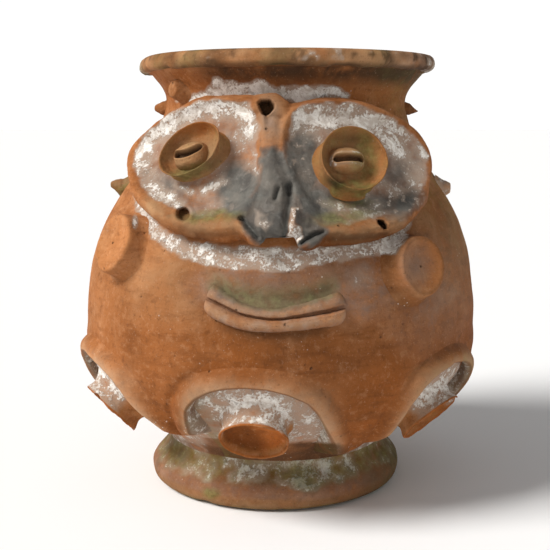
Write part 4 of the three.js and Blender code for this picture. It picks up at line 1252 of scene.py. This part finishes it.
def make_disc(side, angle, z, dish, tone):
    profile = [(34, -6), (30.5, -3), (27.6, 0), (26.3, 4), (25.9, 9), (25.6, 12), (24.6, 14.4), (23.0, 15.0),
               (21.4, 14.7), (18, 15 - dish * 0.45), (12, 15 - dish * 0.8), (6, 15 - dish), (1, 15 - dish)]
    points, quads = turned_piece(profile, 120, 1.0, 0.9, 3)
    reach = np.hypot(points[:, 0], points[:, 1])
    brim = bell(reach, 22.5, 1.4) * smoothstep(2, 14, points[:, 2])
    points[:, :2] *= 1 + 0.08 * noise(points * (1, 1, 0), 24, 131, 2)[:, None]
    points = set_on(points, quads, wall_frame(angle, z, skin(z) - SEATED, skin_slope(z)), 0.7, 0.2, 3)
    x, y = seen_at(points)
    a, b = piece_paint(points, 3, 0.2, 0.0, tone)
    b[:, 3] = np.clip(b[:, 3] + 0.1 * smoothstep(24.5, 22.5, reach) - 0.05, 0, 1)
    if side == "right":
        # On the right disc, the side wall and the brim are painted darker as shade
        b[:, 0] = np.clip(b[:, 0] + 0.35 * smoothstep(24, 28, reach) + 0.3 * brim, 0, 1)
        b[:, 0] = most(b[:, 0], blob(x, y, 0.35, 416, 262, 18, 26))
        patches = [outline_distance(x, y, patch) for patch in LIME_PATCHES]
        a[:, 0] = most(a[:, 0], soft(most(*patches) + 3 * noise(points, 7, 132, 2)))
        a[:, 1] = most(a[:, 1], blob(x, y, 0.9, 416, 265, 22, 30))
    else:
        a[:, 0] = most(a[:, 0], blob(x, y, 1.3, 135, 222, 4, 9))
    add_turned(f"ear_plate_{side}", [f"ear_disc_{side}"], points, quads, (a, b))


make_disc("left", -51, 236, 1.6, 0.62)
make_disc("right", 37.5, 222, 4.0, 0.46)


def make_stub(name, nodes, angle, z, length, radius, tip, droop, flatten, seed, **look):
    profile = [(radius + 5, -6), (radius + 2.0, -2), (radius * 0.98, 1.2), (radius * 0.9, length * 0.35),
               (radius * (1 - (1 - tip) * 0.72), length * 0.75), (radius * tip, length * 0.96),
               (radius * tip * 0.5, length), (0.4, length)]
    points, quads = turned_piece(profile, 64, flatten, 0.6)
    points[:, 1] += droop * smoothstep(0, length, points[:, 2])
    points = set_on(points, quads, wall_frame(angle, z, skin(z) - SEATED, 0), 0.6, 0.25, seed, 8)
    add_turned(name, nodes, points, quads, piece_paint(points, seed, **look))


make_stub("shoulder_lug_left", ["shoulder_spike_left"], -81, 280, 14, 9, 0.3, 4, 1.0, 4,
          buff=0.4, algae=0.9, dark=0.3, lime=0.2, tone=0.45)
make_stub("shoulder_lug_right", ["shoulder_spike_right"], 79, 280, 8.5, 8.5, 0.55, 1, 1.0, 5,
          buff=0.9, lime=0.62, dark=0.0, tone=0.6)
make_stub("neck_ear_left", ["neck_lug_left"], -84, 354, 11, 9, 0.4, 0, 0.8, 6, buff=0.2, dark=0.1, tone=0.4)
make_stub("neck_ear_right", ["neck_lug_right"], 84, 354, 12.5, 11, 0.12, -2.5, 0.55, 7,
          buff=0.0, dark=0.4, tone=0.36)
make_stub("neck_button", ["neck_knob"], -54, 370, 10, 10.5, 0.62, 0, 1.0, 8, buff=0.2, dark=0.1, tone=0.42)


# Millimetres along the belly's wall for each degree round the jar
DEGREE = 3.0


def along_path(path, count):
    """Evenly spaced places along a path of (angle, height), rounded at its corners."""
    return eased(spaced(path, count, scale=(DEGREE, 1)), 10).T


# The mouth: one smiling band with a slit along it, pressed on the belly
MOUTH_LINE = [(206, 298), (213, 300.5), (222, 305), (230, 309.5), (240, 314), (254, 317), (270, 318.3),
              (284, 318), (300, 316), (318, 312.5), (330, 310), (338, 308.5), (346, 307)]
# Reach above and below the slit, in millimetres, from the left end to the right one
MOUTH_ABOVE = [(-1, 14.0), (-0.92, 12.5), (-0.8, 9.6), (-0.5, 7.6), (0, 7.2), (0.4, 8.2), (0.75, 10.4),
               (0.92, 12.6), (1, 12)]
MOUTH_BELOW = [(-1, 11.5), (-0.85, 13.4), (-0.6, 13.2), (-0.2, 12.0), (0.2, 11.4), (0.6, 12.2), (0.9, 13.8),
               (1, 12)]


def make_mouth():
    count, rows = 280, 46
    angle, z = along_path(np.transpose(cast(MOUTH_LINE, skin)), count)
    u = np.radians(angle) * BELLY_RADIUS
    nu, nz = crossways(u, z)
    along = np.linspace(-1, 1, count)
    end = np.sqrt(np.clip(1 - np.abs(along) ** 14, 0, 1))
    # The slit wanders, and is widest at the right
    drift = noise(np.stack([u, 0 * u, 0 * u], -1), 12, 141, 3) * 0.9
    part = 0.25 + 0.55 * smoothstep(0.1, 0.6, along)
    s = np.linspace(0, 1, rows)[:, None]
    bump = np.interp(s, [0, 0.03, 0.08, 0.2, 0.42, 0.62, 0.8, 0.92, 1.0],
                     [-3.2, -1.0, 0.66, 0.97, 1.0, 0.88, 0.66, 0.36, -0.2])
    across_roll = np.repeat(s, count)
    crown, crease = bell(across_roll, 0.45, 0.35), bell(across_roll, 0, 0.035)
    for name, nodes, side, reaches, height, crown_highlight in (
        ("mouth_upper_roll", ["mouth_upper_lip"], 1, MOUTH_ABOVE, 4.6, 0.5),
        ("mouth_lower_roll", ["mouth_lower_lip"], -1, MOUTH_BELOW, 5.8, 1.3),
    ):
        wide = np.interp(along, *np.transpose(reaches)) * (0.4 + 0.6 * end)
        across = drift + side * (part + s * wide)
        turn, zz = np.degrees((u + nu * across) / BELLY_RADIUS), z + nz * across
        ground = on_jar(turn, zz, skin(zz)).reshape(-1, 3)
        lift = (bump * height * (0.15 + 0.85 * end)).ravel() - DRAWN_IN + unevenness(ground)
        quads = grid_quads(rows, count)
        points = roughened(ground + outward(turn.ravel()) * lift[:, None], quads, 0.5, 0.15, 9)
        quads, normals = facing(points, quads, (0, -1, 0))
        a, b = pot_paint(points)
        fine = noise(points, 7, 143, 3)
        a[:, 3] = (0.55 + 0.4 * fine) * smoothstep(0.55, 1.0, across_roll) * (side > 0)
        a[:, 1] = most(a[:, 1], 0.55 + 0.5 * fine)
        # Painted shade in the slit's crease, and under the lower roll's far edge
        b[:, 0] = most(crease, smoothstep(0.8, 1.0, across_roll) * 0.35 * (side < 0))
        b[:, 1] = crown * (0.8 + 0.4 * fine)
        b[:, 2] *= 0.3
        # The crown of each roll is painted lighter as a highlight, most on the lower roll, over its buff
        b[:, 3] = 0.37 + 0.13 * crown * crown_highlight + 0.14 * fine
        add_mesh(name, nodes, points, quads, normals, (np.clip(a, 0, 1), np.clip(b, 0, 1)))


make_mouth()


# The skirt of hoods: one surface standing off the lower belly, its arches cut out between the piers
SKIRT_TOP, SKIRT_ROWS, OUTER_ROWS, LIP_MARKS, DEEPEST = 160.0, 34, 20, 60, -7
# How far each hood's clay laps over the one before it, in degrees
OVERLAP = 0.6
# Over a hood's lip: how far each row is pushed in at the crown and at the feet, and how far it drops
LIP_TURN = [(1.2, 1.2, 0.5), (1.9, 2.2, 1.8), (2.0, 3.0, 3.6), (1.6, 3.8, 5.4), (0.4, 4.6, 7.2),
            (-1.4, 5.4, 9.0), (-3.6, 6.6, 11.5), (-5.6, 8.2, 15.0), (-7.0, 10.2, 20.0), (-7.6, 12.6, 26.0),
            (-7.6, 15.0, 34.0)]
# Round a pier's end: how far each column hangs down and how far it sinks in
PIER_TURN = [(1.6, 0.8), (2.9, 3.0), (3.4, 9.0), (2.4, 18.0), (0.5, 32.0)]


def skirt_stand(z):
    share = np.clip((SKIRT_TOP - z) / (SKIRT_TOP - HOOD_FOOT), 0, 1)
    return -0.3 + (HOOD_STAND + 0.3) * share ** 1.5


def hood_paint(points, share):
    """The pot's own paint, with a paler roll along the arch (share 1 to 0) and lime behind it (below 0)."""
    a, b = pot_paint(points, False)
    fine = noise(points, 10, 151, 3)
    broad = noise(points, 40, 152, 3)
    outer = (share >= 0).astype(float)
    inner = 1 - outer
    band = bell(share, 0, 0.30) * outer
    side = between(bearing(points), 20, 60, 170, 130)
    bare, cup_shade = below_cup(*seen_at(points))
    below = inner * bare * (points[:, 1] < 0)
    a[:, 0] = inner * (0.55 + 0.5 * fine) * smoothstep(-0.05, -0.4, share) * (1 - below)
    a[:, 1] = most(a[:, 1] * outer, inner * 0.6, band * 0.35) * (1 - 0.7 * below)
    a[:, 3] = a[:, 3] * outer + side * band * (0.3 + 0.5 * fine) + inner * 0.25 * (1 + fine)
    # Just inside the lip the wall is painted a little darker as shade, and under the front cup painted dark
    # as shade
    b[:, 0] = most(b[:, 0] * outer + inner * smoothstep(0.0, -0.25, share) * 0.15, below * cup_shade)
    b[:, 1] = most(band * (0.9 + 0.2 * broad), b[:, 1] * outer)
    b[:, 2] *= 1 - 0.9 * band
    b[:, 3] += band * (0.30 + 0.16 * fine)
    return np.clip(a, 0, 1), np.clip(b, 0, 1)


def lip_path(i, columns):
    angle, z = along_path(arch_lip(i), columns)
    z += noise(np.stack([angle * DEGREE, z, 0 * z + 40 * i], -1), 22, 161, 2) * 1.3
    return angle, z


LIP_PATHS = [lip_path(i, LIP_MARKS) for i in range(HOODS)]


def reach_from_lips(angle, z):
    """Distance along the wall to the nearest arch's edge, in millimetres."""
    reaches = []
    for lip_angle, lip_z in LIP_PATHS:
        along = ((angle - lip_angle[0] + 180) % 360 - 180) * DEGREE
        marks = np.stack([(lip_angle - lip_angle[0]) * DEGREE, lip_z], -1)
        reaches.append(line_distance(along, z, marks[:-1], marks[1:]))
    return np.min(reaches, 0)


def hood_grid(i):
    """Angle, height and stand of a hood's clay, row by row from its outer bounds over the lip to the wall."""
    columns = 190
    (left, left_foot), (right, right_foot) = PIERS[i - 1], PIERS[i]
    left -= OVERLAP + (360 if i == 0 else 0)
    top = SKIRT_TOP + 6
    bounds = [(left, left_foot), (left, top), (right, top), (right, right_foot)]
    outer_angle, outer_z = along_path(bounds, columns)
    lip_angle, lip_z = lip_path(i, columns)
    rows = []
    for share in np.linspace(1, 0, SKIRT_ROWS) ** 1.35:
        angle = lip_angle + (outer_angle - lip_angle) * share
        z = lip_z + (outer_z - lip_z) * share
        reach = reach_from_lips(angle, z)
        lift = 6.2 * np.exp(-(reach / 12.0) ** 4) - 1.8 * bell(reach, 17.0, 3.6)
        rows.append((angle, z, skirt_stand(z) + lift))
    tip = rows[-1][2]
    # Over the lip the clay is hollowed back at the crown and filled out to the wall at the arch's feet
    inward = np.stack([np.gradient(lip_z), -np.gradient(lip_angle) * DEGREE])
    inward /= np.hypot(*inward)
    along = np.linspace(0, 1, columns)
    footing = 1 - smoothstep(0.02, 0.24, np.minimum(along, 1 - along))
    for shift, fill, drop in LIP_TURN:
        push = shift + (fill - shift) * footing
        rows.append((lip_angle + inward[0] * push / DEGREE, lip_z + inward[1] * push, tip - drop))
    # The piers' ends, rounded and turned under to the wall
    extra = len(PIER_TURN)
    angle, z, stand = np.pad(np.stack(rows, 1), [(0, 0), (0, 0), (extra, extra)], "edge")
    hang, sink = (np.pad([0.0] * columns, extra) for _ in range(2))
    for k, (down, deep) in enumerate(PIER_TURN):
        hang[[extra - 1 - k, columns + extra + k]] = down
        sink[[extra - 1 - k, columns + extra + k]] = deep
    return angle, z - hang, np.maximum(np.maximum(stand, DEEPEST) - sink, DEEPEST)


def make_hood(i):
    angle, z, stand = hood_grid(i)
    rows, columns = angle.shape
    radial = outward(angle.ravel())
    ground = on_jar(angle, z, skin(z)).reshape(-1, 3)
    points = ground + radial * (stand.ravel() + unevenness(ground) - DRAWN_IN)[:, None]
    # The rearmost lip is pressed flatter, so that it stays within the solid's reach
    rear = CAD_BOX[1][1] / MM - AXIS_Y - 1.5
    points[:, 1] -= np.maximum(points[:, 1] - rear, 0) * 0.75
    outer = np.arange(rows * columns)[:, None] < OUTER_ROWS * columns
    quads, normals = facing(points, grid_quads(rows, columns), radial * outer)
    row = SKIRT_ROWS - 1 - np.repeat(np.arange(rows), columns)
    share = np.where(row >= 0, row / (SKIRT_ROWS - 1), row / len(LIP_TURN))
    paint = hood_paint(points, share)
    add_mesh(f"arch_skirt_{i + 1}", [f"arch_hood_{i + 1}"], points, quads, normals, paint)


for i in range(HOODS):
    make_hood(i)


# Cups under the hoods: short thin-lipped tubes that stand out of the slanting wall
def make_cup(i):
    profile = [(37, -9), (32, -3.5), (28.6, 1), (27.4, 5), (27.8, 9), (28.9, 12.6), (29.4, 14.4),
               (29.2, 15.3), (28.5, 15.6), (27.7, 14.8), (26.6, 11), (25.2, 6.5), (23.4, 2.6), (19.6, 0),
               (12, -1.2), (1, -1.6)]
    local, quads = turned_piece(profile, 140)
    level = local * (1, 1, 0)
    rise = smoothstep(3, 14, local[:, 2])
    # The rim is nicked at its upper right and pulled down in front
    turn = np.degrees(np.arctan2(local[:, 1], local[:, 0]))
    nick = 2.4 * bell(turn, 38 + 9 * (i % 3), 9.0)
    local[:, 2] += (noise(level, 13, 171 + i, 3) * 1.5 - 0.3 - nick) * rise
    grow = 1 + (0.045 * noise(level, 30, 176 + i, 2) + 0.03 * smoothstep(0, -28, local[:, 1])) * rise
    local[:, :2] *= grow[:, None]
    points = set_on(local, quads, cup_frame(i), 0.6, 0.25, 10)
    fine = noise(points, 8, 172, 3)
    across, up, height = local.T
    reach = np.hypot(across, up)
    outer = smoothstep(24, 27, reach) * smoothstep(14.5, 12, height)
    inner = 1 - smoothstep(25.5, 27.5, reach)
    upper = smoothstep(-4, 16, up)
    # Painted shade on the cup's left inner wall and painted light on its lower inner wall
    shade = smoothstep(6, -16, across + 0.5 * up) * inner
    paint = layers(
        points,
        lime=outer * upper * (0.7 + 0.6 * fine) + smoothstep(29.5, 33, reach) * (0.55 + 0.5 * fine),
        algae=outer * (1 - upper) * (0.15 + 0.3 * fine),
        dark=shade * 0.35,
        buff=smoothstep(14.5, 15.2, height) * 0.3,
        red=most(inner, smoothstep(12.5, 14, height)),
        tone=0.56 + 0.44 * inner * smoothstep(14, -10, up) * (1 - shade) + 0.1 * fine - 0.1 * shade,
    )
    add_turned(f"cup_ring_{i + 1}", [f"wall_cup_{i + 1}"], points, quads, paint)


for i in range(HOODS):
    make_cup(i)


# A wide pale floor, a broad key light from the upper left, and the camera at the photograph's angle
FLOOR_REACH = 30.0
floor_mesh = bpy.data.meshes.new("floor")
corners = ((-1, -1), (1, -1), (1, 1), (-1, 1))
floor_mesh.from_pydata([(x * FLOOR_REACH, y * FLOOR_REACH, 0) for x, y in corners], [], [(0, 1, 2, 3)])
floor = bpy.data.objects.new("floor", floor_mesh)
floor.location.z = -0.0004
floor_look = bpy.data.materials.new("pale_floor")
floor_look.use_nodes = True
floor_shader = floor_look.node_tree.nodes["Principled BSDF"]
floor_shader.inputs["Base Color"].default_value = (0.92, 0.92, 0.92, 1)
floor_shader.inputs["Roughness"].default_value = 0.9
floor_mesh.materials.append(floor_look)
bpy.context.scene.collection.objects.link(floor)

# White at the horizon, greyer overhead
world = bpy.data.worlds.new("studio")
world.use_nodes = True
sky = world.node_tree
height = node(sky, "ShaderNodeSeparateXYZ")
sky.links.new(node(sky, "ShaderNodeTexCoord").outputs["Generated"], height.inputs[0])
fade = node(sky, "ShaderNodeMapRange", interpolation_type="SMOOTHSTEP", clamp=True)
sky.links.new(height.outputs["Z"], fade.inputs["Value"])
for socket, value in (("From Min", 0.13), ("From Max", 0.34), ("To Min", 1.03), ("To Max", 0.27)):
    fade.inputs[socket].default_value = value
sky.links.new(fade.outputs[0], sky.nodes["Background"].inputs["Strength"])
sky.nodes["Background"].inputs["Color"].default_value = (1, 1, 1, 1)
bpy.context.scene.world = world

KEY_AZIMUTH, KEY_HEIGHT, KEY_BREADTH = np.radians([-66, 42, 24]).tolist()
KEY_STRENGTH = 3.85
key_data = bpy.data.lights.new("key", "SUN")
key_data.angle = KEY_BREADTH
key_data.energy = KEY_STRENGTH
key_data.color = (1.0, 0.985, 0.96)
key = bpy.data.objects.new("key", key_data)
level_reach = math.cos(KEY_HEIGHT)
toward_key = Vector((math.sin(KEY_AZIMUTH) * level_reach, -math.cos(KEY_AZIMUTH) * level_reach,
                     math.sin(KEY_HEIGHT)))
key.rotation_euler = toward_key.to_track_quat("Z", "Y").to_euler()
bpy.context.scene.collection.objects.link(key)

camera_data = bpy.data.cameras.new("camera")
camera_data.sensor_width = 36.0
camera_data.lens = FOCAL * camera_data.sensor_width / FRAME_WIDTH
camera_data.shift_x = (FRAME_WIDTH / 2 - CENTRE_X) / FRAME_WIDTH
camera = bpy.data.objects.new("camera", camera_data)
camera.location = ((EYE_POINT[0] + AXIS_X) * MM, (EYE_POINT[1] + AXIS_Y) * MM, EYE_POINT[2] * MM)
camera.rotation_euler = (math.pi / 2 - PITCH, 0, 0)
bpy.context.scene.collection.objects.link(camera)
bpy.context.scene.camera = camera
bpy.context.scene.view_settings.view_transform = "Standard"
